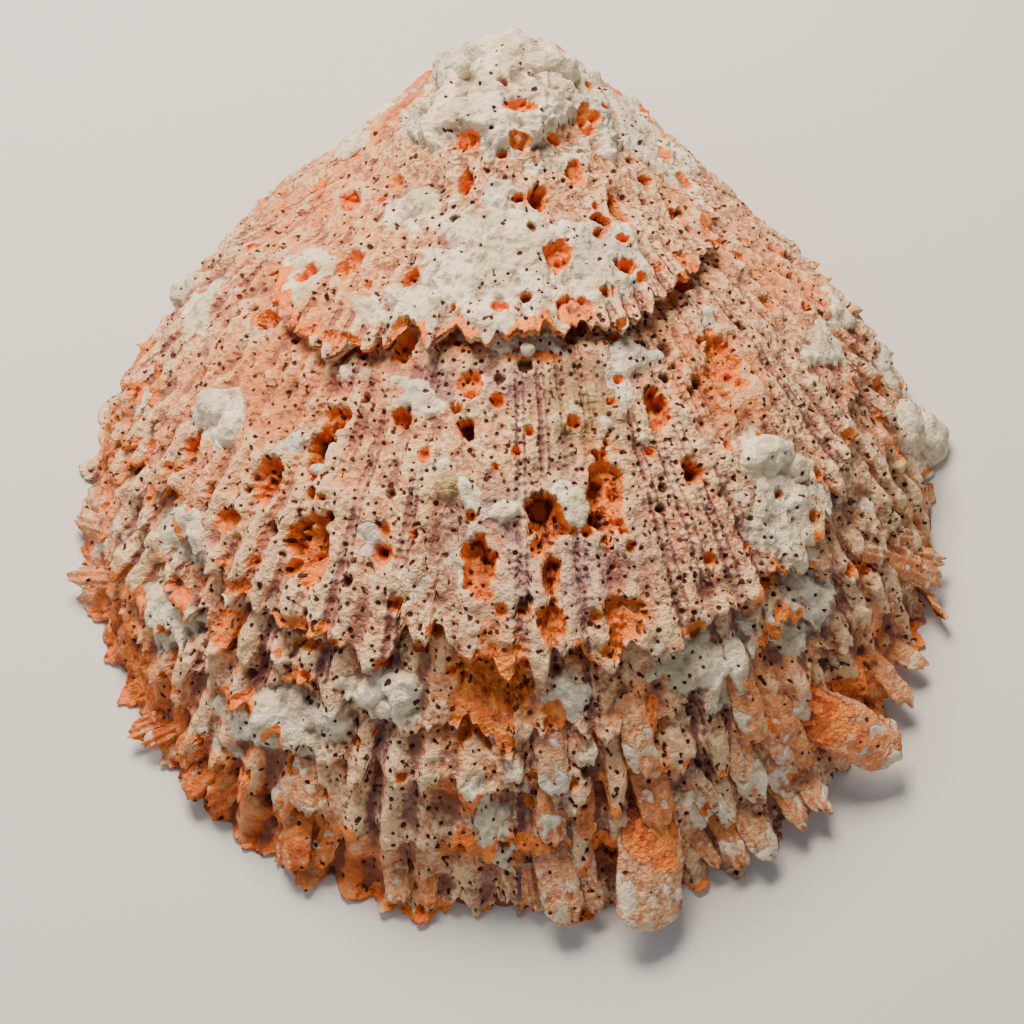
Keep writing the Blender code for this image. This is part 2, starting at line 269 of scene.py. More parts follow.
def finish_piece(data, material):
    """Puts a finished mesh in the scene as a smooth piece that rides on the valve."""
    data.materials.append(material)
    data.shade_smooth()
    piece = bpy.data.objects.new(data.name, data)
    bpy.context.scene.collection.objects.link(piece)
    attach(piece, "root")
    return piece


RIM_WIDTH = 4.5
HINGE_LINE = 49.8
INSIDE_SLOPE = 62.0
SCALLOP_DEPTH = 0.7
GROOVE_DEPTH = 0.7
RIM_TUCK = 1.3
HINGE_TUCK = 1.2
EDGE_ROUNDING = 80
BODY_COLUMNS = 592
HIDDEN_DEPTH_CROWN = 4.2
HIDDEN_DEPTH_MARGIN = 2.0
CLOUD_SIZE = 11.1
INNER_BUMP_DISTANCE = 0.0006


def join_shader(material, outputs):
    """Links outputs to the inputs of the material's shader, by name."""
    shader = material.node_tree.nodes["Principled BSDF"]
    for name, output in outputs.items():
        material.node_tree.links.new(output, shader.inputs[name])


porcelain = bpy.data.materials.new("shell_porcelain")
# Porcellaneous inner shell: dense lime with a soft gloss, white with a warm band at the margin.
porcelain.use_nodes = True
porcelain_place = add_node(porcelain, "ShaderNodeTexCoord", "Object")
inner_marks = add_node(porcelain, "ShaderNodeAttribute", None, attribute_name="inner_marks")
inner_split = add_node(porcelain, "ShaderNodeSeparateColor", None,
                       [("Color", inner_marks.outputs["Color"])])
cloud = add_node(porcelain, "ShaderNodeTexNoise", "Fac",
                 [("Vector", porcelain_place), ("Scale", 1000.0 / CLOUD_SIZE), ("Detail", 5.0)])
band_field = add_node(porcelain, "ShaderNodeMath", "Value",
                      [(0, cloud), (1, inner_split.outputs["Red"])], operation="MULTIPLY")
band = add_node(porcelain, "ShaderNodeMapRange", "Result",
                [("Value", band_field), ("From Min", 0.16), ("From Max", 0.45)],
                interpolation_type="SMOOTHSTEP")
# Coats from the bottom up: cream clouds, the margin's band, the scar, the ligament and the hidden wall.
inner_colour = linear("#efe6d8")
for share, coat in ((cloud, "#dccbb6"), (band, "#c07c5c"), (inner_split.outputs["Green"], "#b79c84"),
                    (inner_split.outputs["Blue"], "#4a2a1c"), (inner_marks.outputs["Alpha"], "#a8430f")):
    inner_colour = add_node(porcelain, "ShaderNodeMix", "Result",
                            [("Factor", share), ("A", inner_colour), ("B", linear(coat))],
                            data_type="RGBA")
gloss = add_node(porcelain, "ShaderNodeMapRange", "Result",
                 [("Value", inner_marks.outputs["Alpha"]), ("To Min", 0.32), ("To Max", 0.8)])
inner_bump = add_node(porcelain, "ShaderNodeBump", "Normal",
                      [("Height", cloud), ("Strength", 0.25), ("Distance", INNER_BUMP_DISTANCE)])
join_shader(porcelain, {"Base Color": inner_colour, "Roughness": gloss, "Normal": inner_bump})


def hidden_outside(edge, share):
    """Points of the body's own outside, a few millimetres under the growth layers."""
    place = CROWN + (edge - CROWN) * share[..., None]
    point, normal, _ = outside_frame(place)
    thin = smooth((share - 0.55) / 0.35)
    depth = HIDDEN_DEPTH_CROWN + (HIDDEN_DEPTH_MARGIN - HIDDEN_DEPTH_CROWN) * thin
    return point - normal * (depth + 0.5 * rough(point, 3.0, 5))[..., None]


SCAR = (17.0, 12.0, 13.0, 11.0)


def oval_away(place, centre_x, centre_y, half_width, half_length):
    """Distance in plan from the centre of an oval, as a share of the way to its edge."""
    return np.hypot((place[..., 0] - centre_x) / half_width, (place[..., 1] - centre_y) / half_length)


def scar_mask(point):
    return smooth((1.0 - oval_away(point, *SCAR) + 0.05 * ripple(point, 4.0, 3)) / 0.12)


def inside_point(inner_edge, share):
    """Points of the smooth inside, with the muscle's scar pressed into it."""
    place = CROWN + (inner_edge - CROWN) * share
    sine = share * math.sin(math.radians(INSIDE_SLOPE))
    slope_cosine = math.cos(math.radians(INSIDE_SLOPE))
    height = (DOME_HEIGHT - CROWN_WALL) * (math.sqrt(1.0 - sine**2) - slope_cosine) / (1.0 - slope_cosine)
    point = np.concatenate((place, np.full(place.shape[:-1] + (1,), height)), -1)
    point[..., 2] += 0.5 * scar_mask(point) + 0.12 * rough(point, 9.0, 8)
    return point


# Hinge: (name, place across, place along, half width, half length, height below the plate).
HINGE_SHAPES = (
    ("ligament_pit", 0.0, 62.5, 2.6, 5.2, -4.2),
    ("left_socket", -6.6, 61.0, 2.4, 3.8, -3.6),
    ("right_socket", 6.6, 61.0, 2.4, 3.8, -3.6),
    ("left_tooth", -12.6, 60.4, 3.0, 4.2, 3.2),
    ("right_tooth", 12.6, 60.4, 3.0, 4.2, 3.2),
)
HINGE_RECESS = (0.0, 61.6, 22.0, 8.0)
HINGE_RECESS_HEIGHT = 4.2


def hinge_height(place):
    """Height of the hinge plate above the table, with its teeth, sockets and ligament pit."""
    height = HINGE_RECESS_HEIGHT * smooth((1.0 - oval_away(place, *HINGE_RECESS)) / 0.35)
    for name, *oval, drop in HINGE_SHAPES:
        shape = smooth((1.15 - oval_away(place, *oval)) / 0.6)
        height -= drop * shape
        if name == "ligament_pit":
            dark = shape
    return np.maximum(height, 0.3 * smooth(height / 0.3)), dark


body_angles, body_ribs = margin_columns(BODY_COLUMNS, 1.0)
body_angles, body_ribs = body_angles[:-1], body_ribs[:-1]
body_outward = unit(margin_point(body_angles) - CROWN)
body_tuck = RIM_TUCK + HINGE_TUCK * smooth(body_outward[:, 1:] * 1.6)
body_edge = margin_point(body_angles) - body_outward * body_tuck
body_inner_edge = body_edge - body_outward * RIM_WIDTH
past_hinge_line = body_inner_edge[:, 1] > HINGE_LINE
stretch = (HINGE_LINE - CROWN[1]) / np.maximum(body_outward[:, 1], 0.2)
body_inner_edge[past_hinge_line] = (CROWN + body_outward * stretch[:, None])[past_hinge_line]
for step in range(EDGE_ROUNDING):
    neighbours = np.roll(body_inner_edge, 1, 0) + np.roll(body_inner_edge, -1, 0)
    body_inner_edge = 0.5 * body_inner_edge + 0.25 * neighbours
body_crest = 0.5 + 0.5 * np.cos(2.0 * np.pi * body_ribs)

body_rings = []
body_inner_marks = []


def add_body_ring(ring, near_margin, scar, ligament, hidden):
    """Adds a ring of the body with its four marks, each a number or one number for each column."""
    marks = np.broadcast_arrays(near_margin, scar, ligament, hidden, body_crest)[:4]
    body_rings.append(ring)
    body_inner_marks.append(np.stack(marks, -1))


for share in np.linspace(0.04, 0.99, 24):
    add_body_ring(hidden_outside(body_edge, np.full(BODY_COLUMNS, share)), 0.0, 0.0, 0.0, 1.0)
for part in np.linspace(0.0, 1.0, 15):
    scallop = body_outward * (SCALLOP_DEPTH * (body_crest - 0.5) * (1.0 - smooth(part / 0.4)))[:, None]
    rim_place = body_edge + scallop + (body_inner_edge - body_edge) * part
    rim_height, ligament = hinge_height(rim_place)
    groove = GROOVE_DEPTH * (1.0 - body_crest) * smooth(part / 0.15) * (1.0 - smooth((part - 0.5) / 0.4))
    rim_height = rim_height + groove * (body_edge[:, 1] < HINGE_LINE)
    rim_ring = np.concatenate((rim_place, rim_height[:, None]), -1)
    add_body_ring(rim_ring, 1.0, 0.0, ligament, 0.5 * float(part < 0.1))
for share in np.linspace(0.985, 0.03, 34):
    ring = inside_point(body_inner_edge, share)
    add_body_ring(ring, smooth((share - 0.84) / 0.16), 0.8 * scar_mask(ring), 0.0, 0.0)
def store_marks(data, marks):
    """Stores surface marks on a mesh: four numbers a vertex as a colour, three as a vector."""
    for name, values in marks.items():
        kind, field = (("FLOAT_COLOR", "color"), ("FLOAT_VECTOR", "vector"))[values.shape[-1] == 3]
        attribute = data.attributes.new(name, kind, "POINT")
        attribute.data.foreach_set(field, values.astype(np.float32).ravel())


def ball_from_rings(name, rings, marks):
    """A closed ball whose parallels are these rings of points, from the first to the last."""
    ring_total, columns = rings.shape[:2]
    ball = bmesh.new()
    bmesh.ops.create_uvsphere(ball, u_segments=columns, v_segments=ring_total + 1, radius=1.0)
    data = bpy.data.meshes.new(name)
    ball.to_mesh(data)
    ball.free()
    rest = np.empty(len(data.vertices) * 3, np.float32)
    data.vertices.foreach_get("co", rest)
    rest = rest.reshape(-1, 3)
    ring = np.rint(np.arccos(np.clip(rest[:, 2], -1.0, 1.0)) / math.pi * (ring_total + 1)).astype(int) - 1
    column = np.rint(np.arctan2(rest[:, 1], rest[:, 0]) / (2.0 * math.pi) * columns).astype(int) % columns
    inner_ring = np.clip(ring, 0, ring_total - 1)
    points = rings[inner_ring, column]
    points[ring == -1] = rings[0].mean(0)
    points[ring == ring_total] = rings[-1].mean(0)
    data.vertices.foreach_set("co", (points * MM).astype(np.float32).ravel())
    store_marks(data, {key: values[inner_ring, column] for key, values in marks.items()})
    shaped = bmesh.new()
    shaped.from_mesh(data)
    bmesh.ops.recalc_face_normals(shaped, faces=shaped.faces)
    shaped.to_mesh(data)
    shaped.free()
    return data


body_data = ball_from_rings("valve_body", np.array(body_rings), {"inner_marks": np.array(body_inner_marks)})
valve_body = finish_piece(body_data, porcelain)
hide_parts("valve")

# Growth layers
# The older outside of the shell, grown in thin overlapping layers, each ending in a ragged free edge.
# It is eroded lime: ribbed, riddled by boring sponges down to fresh orange shell, and crusted with
# white lime. The layers are grown onto the valve and are held by nothing else.

# (name, pixels across, pixels down, width, length, depth, painted shade inside); sizes in millimetres.
BORINGS = (
    ("umbo_right", 520, 103, 4.0, 2.2, 1.5, 0.0),
    ("umbo_square", 585, 115, 3.6, 4.4, 2.0, 0.0),
    ("umbo_small", 555, 130, 3.0, 1.8, 1.5, 0.0),
    ("under_umbo", 465, 175, 2.8, 4.0, 2.5, 0.0),
    ("round_orange", 540, 190, 3.2, 3.8, 3.0, 0.2),
    ("left_of_umbo", 350, 195, 4.4, 3.6, 2.0, 0.0),
    ("left_edge_slot", 350, 150, 4.4, 2.0, 1.6, 0.0),
    ("tall_orange", 555, 255, 4.0, 5.5, 2.2, 0.0),
    ("dark_round", 620, 268, 3.4, 3.4, 3.0, 0.3),
    ("step_nest", 572, 310, 5.6, 4.8, 2.4, 0.0),
    ("step_nest_pit", 572, 307, 2.2, 2.2, 3.5, 0.8),
    ("narrow_upright", 412, 275, 2.0, 4.4, 2.0, 0.0),
    ("left_pair_right", 352, 262, 4.6, 4.4, 2.0, 0.0),
    ("left_pair_left", 312, 273, 3.2, 4.0, 2.4, 0.2),
    ("left_shelf", 265, 310, 5.6, 4.0, 2.4, 0.0),
    ("step_middle", 405, 335, 3.4, 5.2, 2.2, 0.0),
    ("step_left", 340, 338, 7.0, 2.0, 1.6, 0.0),
    ("right_slash", 683, 265, 3.6, 6.0, 2.4, 0.1),
    ("right_small", 680, 180, 2.6, 3.4, 2.0, 0.0),
    ("right_upright", 720, 225, 2.6, 4.4, 1.8, 0.0),
    ("far_right_stain", 785, 250, 4.0, 6.0, 1.5, 0.0),
    ("right_hollow", 725, 350, 5.4, 9.0, 2.4, 0.0),
    ("right_spot", 770, 295, 2.6, 3.2, 1.8, 0.0),
    ("white_backed", 660, 400, 4.0, 7.0, 3.0, 0.0),
    ("right_round", 693, 465, 3.4, 3.4, 2.6, 0.2),
    ("far_right_round", 860, 560, 4.4, 3.8, 2.0, 0.0),
    ("middle_nest", 605, 485, 5.2, 11.6, 3.2, 0.0),
    ("middle_nest_top", 600, 480, 3.0, 3.0, 4.4, 0.5),
    ("middle_nest_low", 600, 514, 3.4, 3.4, 4.4, 0.6),
    ("deep_hole", 548, 516, 5.4, 6.0, 3.6, 0.25),
    ("deep_hole_top", 541, 500, 4.6, 4.4, 4.8, 0.95),
    ("middle_oval", 480, 560, 4.6, 8.4, 3.0, 0.0),
    ("middle_slit", 550, 570, 2.6, 5.0, 2.4, 0.0),
    ("left_nest", 310, 540, 6.6, 9.4, 3.2, 0.0),
    ("white_lipped", 320, 445, 4.0, 7.8, 4.2, 0.6),
    ("left_stripe", 270, 475, 4.4, 7.0, 2.2, 0.0),
    ("left_top", 335, 410, 4.4, 3.4, 2.2, 0.0),
    ("rib_dot", 400, 410, 2.8, 2.8, 2.0, 0.0),
    ("dark_dot", 465, 420, 2.6, 2.6, 3.0, 0.7),
    ("left_step_spot", 235, 515, 4.4, 3.4, 2.4, 0.0),
    ("far_left_spot", 100, 515, 3.8, 3.0, 2.0, 0.0),
    ("left_step_nest", 230, 620, 5.2, 6.0, 2.6, 0.0),
    ("left_step_slot", 245, 580, 5.6, 2.2, 1.8, 0.0),
    ("front_arch", 490, 690, 10.0, 16.0, 2.4, 0.0),
    ("step_gap_left", 550, 615, 4.2, 5.0, 2.4, 0.0),
    ("step_gap_right", 620, 610, 5.4, 6.0, 2.8, 0.0),
    ("front_channel", 640, 720, 5.0, 8.4, 2.0, 0.0),
    ("front_groove", 555, 720, 3.4, 8.0, 1.6, 0.0),
    ("frill_root", 640, 850, 6.6, 7.0, 2.0, 0.0),
    ("right_flank_hollow", 835, 700, 8.0, 8.0, 2.2, 0.0),
    ("left_slot", 198, 447, 3.2, 6.4, 4.4, 1.0),
    ("upper_rib_hole", 470, 375, 3.4, 4.0, 1.6, 0.0),
    ("left_rib_hole", 205, 372, 2.2, 2.2, 1.6, 0.0),
    ("upper_left_hole", 245, 215, 2.8, 4.2, 1.6, 0.0),
    ("middle_hole", 385, 548, 3.0, 2.8, 1.6, 0.0),
    ("umbo_drop", 575, 163, 2.8, 4.0, 1.8, 0.0),
    ("umbo_far_drop", 660, 150, 2.6, 4.0, 1.6, 0.0),
    ("right_drop", 675, 215, 2.4, 3.8, 1.6, 0.1),
    ("outline_upper", 627, 93, 3.0, 2.8, 1.0, 0.0),
    ("outline_top", 593, 66, 2.6, 2.2, 0.9, 0.0),
    ("outline_low", 655, 112, 2.2, 2.4, 0.9, 0.0),
    ("umbo_scrape", 467, 133, 4.4, 3.0, 1.1, 0.0),
    ("tube_place", 518, 135, 2.8, 2.8, 1.6, 0.5),
    ("brown_hollow", 616, 204, 2.8, 5.4, 2.4, 0.8),
    ("brown_hollow_low", 597, 217, 3.2, 2.8, 2.0, 0.7),
    ("dark_slot_upper", 642, 176, 2.8, 1.8, 2.0, 0.9),
    ("umbo_pit_left", 525, 298, 1.6, 1.6, 2.0, 0.9),
    ("umbo_pit_right", 603, 294, 2.0, 1.8, 2.0, 0.8),
    ("umbo_small_orange", 618, 239, 2.6, 1.8, 1.4, 0.0),
    ("upper_left_orange", 397, 174, 3.0, 2.4, 1.5, 0.0),
    ("left_dot", 316, 489, 1.9, 1.9, 2.2, 0.7),
    ("left_dot_low", 332, 511, 1.5, 1.5, 1.8, 0.9),
    ("left_slot_small", 218, 488, 1.3, 2.2, 1.6, 0.9),
    ("far_left_dark", 179, 577, 2.4, 1.8, 1.8, 0.9),
    ("far_left_dark_two", 201, 577, 1.3, 1.3, 1.6, 0.9),
    ("step_orange_left", 305, 618, 4.4, 2.6, 1.6, 0.0),
    ("step_slot_left", 309, 637, 4.4, 1.6, 1.8, 0.3),
    ("margin_hollow", 136, 681, 5.0, 4.4, 1.6, 0.1),
    ("left_upright", 153, 488, 1.8, 3.2, 1.3, 0.0),
    ("right_top_orange", 745, 250, 2.6, 5.0, 1.3, 0.0),
    ("right_streak", 812, 285, 2.2, 5.0, 1.2, 0.0),
    ("right_ear_orange", 903, 463, 2.2, 2.2, 1.2, 0.0),
    ("right_low_pocket", 868, 465, 2.4, 2.2, 1.3, 0.0),
    ("right_under_lump", 770, 490, 1.8, 1.4, 1.6, 0.8),
    ("front_pocket", 610, 640, 3.4, 3.0, 2.0, 0.0),
    ("front_right_pocket", 690, 622, 2.8, 2.4, 1.6, 0.2),
    ("front_low_pocket", 500, 735, 4.4, 3.4, 1.6, 0.0),
    ("front_small_pocket", 420, 640, 2.4, 1.8, 1.4, 0.1),
)

# (name, pixels across, pixels down, width, length, height above the shell); sizes in millimetres.
CRUSTS = (
    ("umbo_cover", 490, 80, 27.0, 18.0, 2.2),
    ("umbo_right_cover", 645, 130, 13.0, 19.0, 1.0),
    ("umbo_top_right", 590, 74, 12.0, 11.0, 1.4),
    ("step_cover", 500, 265, 17.0, 23.0, 1.0),
    ("left_patch", 410, 205, 7.0, 7.0, 0.8),
    ("left_shelf_patch", 307, 275, 7.0, 10.0, 0.8),
    ("step_left_patch", 405, 305, 10.0, 7.0, 0.7),
    ("step_right_patch", 590, 260, 13.0, 14.0, 0.8),
    ("left_boss", 192, 290, 6.0, 7.0, 0.9),
    ("left_lump", 222, 412, 8.0, 8.0, 0.8),
    ("left_step_patch", 185, 532, 9.0, 8.0, 0.9),
    ("far_left_patch", 172, 610, 12.0, 9.0, 1.1),
    ("front_left_shelf", 285, 712, 16.0, 10.0, 1.2),
    ("front_knobs", 390, 688, 9.0, 6.5, 1.6),
    ("right_lump", 767, 460, 11.0, 8.0, 0.9),
    ("right_patch", 785, 520, 13.0, 11.0, 1.0),
    ("right_low_patch", 800, 607, 12.0, 9.5, 1.1),
    ("front_right_patch", 710, 650, 14.0, 9.0, 0.9),
    ("right_ear_boss", 920, 442, 9.0, 10.0, 0.9),
    ("right_edge_patch", 890, 372, 6.0, 8.0, 1.0),
)

# (name, mark, pixels across, pixels down, half width, half length, strength); sizes in millimetres.
TINTS = (
    ("middle_lilac", "lilac", 545, 545, 15.0, 11.0, 1.0),
    # Painted shadow, in lilac, just under the ragged edge of the first growth step.
    ("under_step_lilac", "lilac", 430, 372, 20.0, 4.0, 0.9),
    ("under_step_right_shadow", "lilac", 610, 365, 8.5, 4.0, 0.8),
    ("margin_orange_1", "warm", 110, 640, 11.0, 11.0, 1.0),
    ("margin_orange_2", "warm", 150, 700, 11.0, 11.0, 1.0),
    ("margin_orange_3", "warm", 215, 780, 11.0, 10.0, 1.0),
    ("margin_orange_4", "warm", 280, 835, 11.0, 10.0, 1.0),
    ("margin_orange_5", "warm", 340, 870, 10.0, 8.0, 0.9),
    ("left_flank_peach", "warm", 260, 375, 20.0, 36.0, 0.45),
    ("right_flank_peach", "warm", 785, 270, 9.0, 12.0, 0.55),
    ("umbo_peach", "warm", 600, 130, 8.0, 8.0, 0.5),
    ("front_right_peach", "warm", 790, 700, 14.0, 12.0, 0.4),
    ("left_edge_peach", "warm", 108, 465, 8.0, 14.0, 0.65),
    ("left_upper_peach", "warm", 300, 205, 12.0, 10.0, 0.5),
    ("left_umbo_flank", "warm", 402, 100, 3.0, 6.0, 0.8),
    ("right_middle_peach", "warm", 725, 375, 7.0, 9.0, 0.7),
    ("right_upper_peach", "warm", 700, 215, 8.0, 10.0, 0.5),
    ("right_low_orange", "warm", 862, 690, 8.0, 8.0, 0.85),
    ("front_right_orange", "warm", 640, 740, 5.0, 9.0, 0.7),
    ("right_pale", "pale", 855, 500, 13.0, 22.0, 0.9),
    ("front_pale", "pale", 640, 690, 16.0, 12.0, 0.7),
    ("front_left_pale", "pale", 400, 730, 20.0, 12.0, 0.6),
    ("middle_khaki", "khaki", 590, 400, 7.0, 8.5, 0.9),
    ("right_khaki", "khaki", 900, 480, 7.0, 11.0, 0.6),
)

# Growth steps: (name, start share, edge share, rise, tongue length, rows, columns); millimetres.
LAYERS = (
    ("layer_2", 0.42, 0.80, 3.5, 1.9, 124, 720),
    ("layer_3", 0.745, 0.865, 2.2, 1.9, 42, 1000),
    ("layer_4", 0.83, 0.91, 2.2, 2.0, 32, 1000),
    ("layer_5", 0.875, 0.955, 2.0, 1.6, 32, 1000),
    ("layer_6", 0.92, 1.006, 1.4, 1.2, 32, 1000),
)
FIRST_STEP = 0.48
FIRST_RISE = 3.3
FULL_RAY = 115.0
SEAT_DEPTH_CROWN = 6.0
SEAT_DEPTH_MARGIN = 3.0
TUCK = 1.4
SETTLED = 1.25
FREE_LENGTH = 4.8
TOP_CLEARANCE = 0.5
UNDER_CLEARANCE = 0.2
CAVITY_SHADE_REACH = 5

# Relief and bored holes, in millimetres. FAR stands for a hole too many radii away to show.
SWELL_RELIEF = 0.85
BUMP_RELIEF = 0.50
FINE_RELIEF = 0.13
GROWTH_LINE_RELIEF = 0.16
RIBLETS = 3.0
RIBLET_RELIEF = 0.24
BEAD_PITCH = 1.1
BEAD_RELIEF = 0.14
KNOB_SIZE = 3.2
GRIT_SIZE = 1.5
PORE_CELL = 1.55
PORE_RADIUS = 0.31
PORE_DEPTH = 0.35
PORE_SEED = 72
PIT_CELL = 4.5
PIT_RADIUS = 0.95
PIT_DEPTH = 1.3
NEST_CELL = 2.3
NEST_RADIUS = 0.55
NEST_DEPTH = 0.9
LIP_RELIEF = 0.10
FAR = 4.0
FRESH_CELL = 1.25
BUMP_DISTANCE = 0.0012
# Where the pores are densest, in pixels across and down, and the width and length of that part.
DENSE_PIXEL = (440, 560)
DENSE_OVAL = (110.0, 96.0)

to_right = np.array((1.0, 0.0, 0.0))


def spot_above(across, down, lift):
    """Where the line of sight through a pixel comes within lift millimetres of the shell or the table."""
    middle = PICTURE_SIDE / 2.0
    sideways = to_right * (across - middle) / FOCAL_PIXELS
    ray = sideways + camera_up * (middle - down) / FOCAL_PIXELS - camera_back
    spots = (camera_place + ray * np.linspace(0.30, 0.50, 1600)[:, None]) / MM
    under = spots[:, 2] < outside_height(spots[:, :2]) + lift
    return spots[np.argmax(under)]


def seen_at(across, down):
    """The point of the smooth outside that the camera sees at a pixel, with its frame of directions."""
    place = spot_above(across, down, 2.0)[:2]
    arm = place - CROWN
    reach = margin_radius(np.degrees(np.arctan2(arm[1], arm[0])))
    place = CROWN + arm * min(1.0, 0.995 * reach / np.linalg.norm(arm))
    point, normal, forward = outside_frame(place)
    return point, normal, forward, np.cross(forward, normal)


def oval_distance(point, spot, width, length, reach=2.2):
    """Distance from a spot as a share of an oval's edge, along the surface; far points get 9."""
    centre, normal, forward, side = spot
    away = point - centre
    near = np.abs(away).max(-1) < max(width, length) * reach
    distance = np.full(point.shape[:-1], 9.0)
    close = away[near]
    distance[near] = np.hypot(close @ side / (0.5 * width), close @ forward / (0.5 * length))
    return distance


def bored_cells(point, normal, cell_size, radius, chance, seed):
    """The nearest bored hole of a scatter: offset from it in radii, and its distance in radii."""
    best = np.full(point.shape[:-1], FAR)
    offset = np.full(point.shape, FAR)
    cell = np.floor(point / cell_size - 0.5)
    for shift in np.ndindex(2, 2, 2):
        neighbour = cell + np.array(shift)
        draw = scatter(neighbour, seed, 5)
        centre = (neighbour + 0.14 + 0.72 * draw[..., :3]) * cell_size
        away = point - centre
        height = (away * normal).sum(-1)
        away -= normal * height[..., None]
        flat = 1.0 - (height / (0.62 * cell_size)) ** 2
        size = radius * (0.75 + 0.55 * draw[..., 3] ** 3) * np.clip(flat, 0.0, 1.0) ** 0.35
        size = np.where(draw[..., 4] < chance, size, 0.0)
        distance = np.linalg.norm(away, axis=-1) / np.maximum(size, 0.02)
        closer = distance < best
        best = np.where(closer, distance, best)
        offset = np.where(closer[..., None], away / np.maximum(size, 0.02)[..., None], offset)
    return offset, best


def blurred(values, reach):
    """Soft average over rows and columns, closed round the columns."""
    padded = values
    for step in range(1, reach + 1):
        padded = (padded + np.roll(padded, step, 1) + np.roll(padded, -step, 1)) / 3.0
        up = np.concatenate((padded[:1].repeat(step, 0), padded[:-step]))
        down = np.concatenate((padded[step:], padded[-1:].repeat(step, 0)))
        padded = (padded + up + down) / 3.0
    return padded


boring_spots = [seen_at(across, down) for name, across, down, *sizes in BORINGS]
crust_spots = [seen_at(across, down) for name, across, down, *sizes in CRUSTS]
tint_spots = [seen_at(across, down) for name, mark, across, down, *sizes in TINTS]
dense_spot = seen_at(*DENSE_PIXEL)


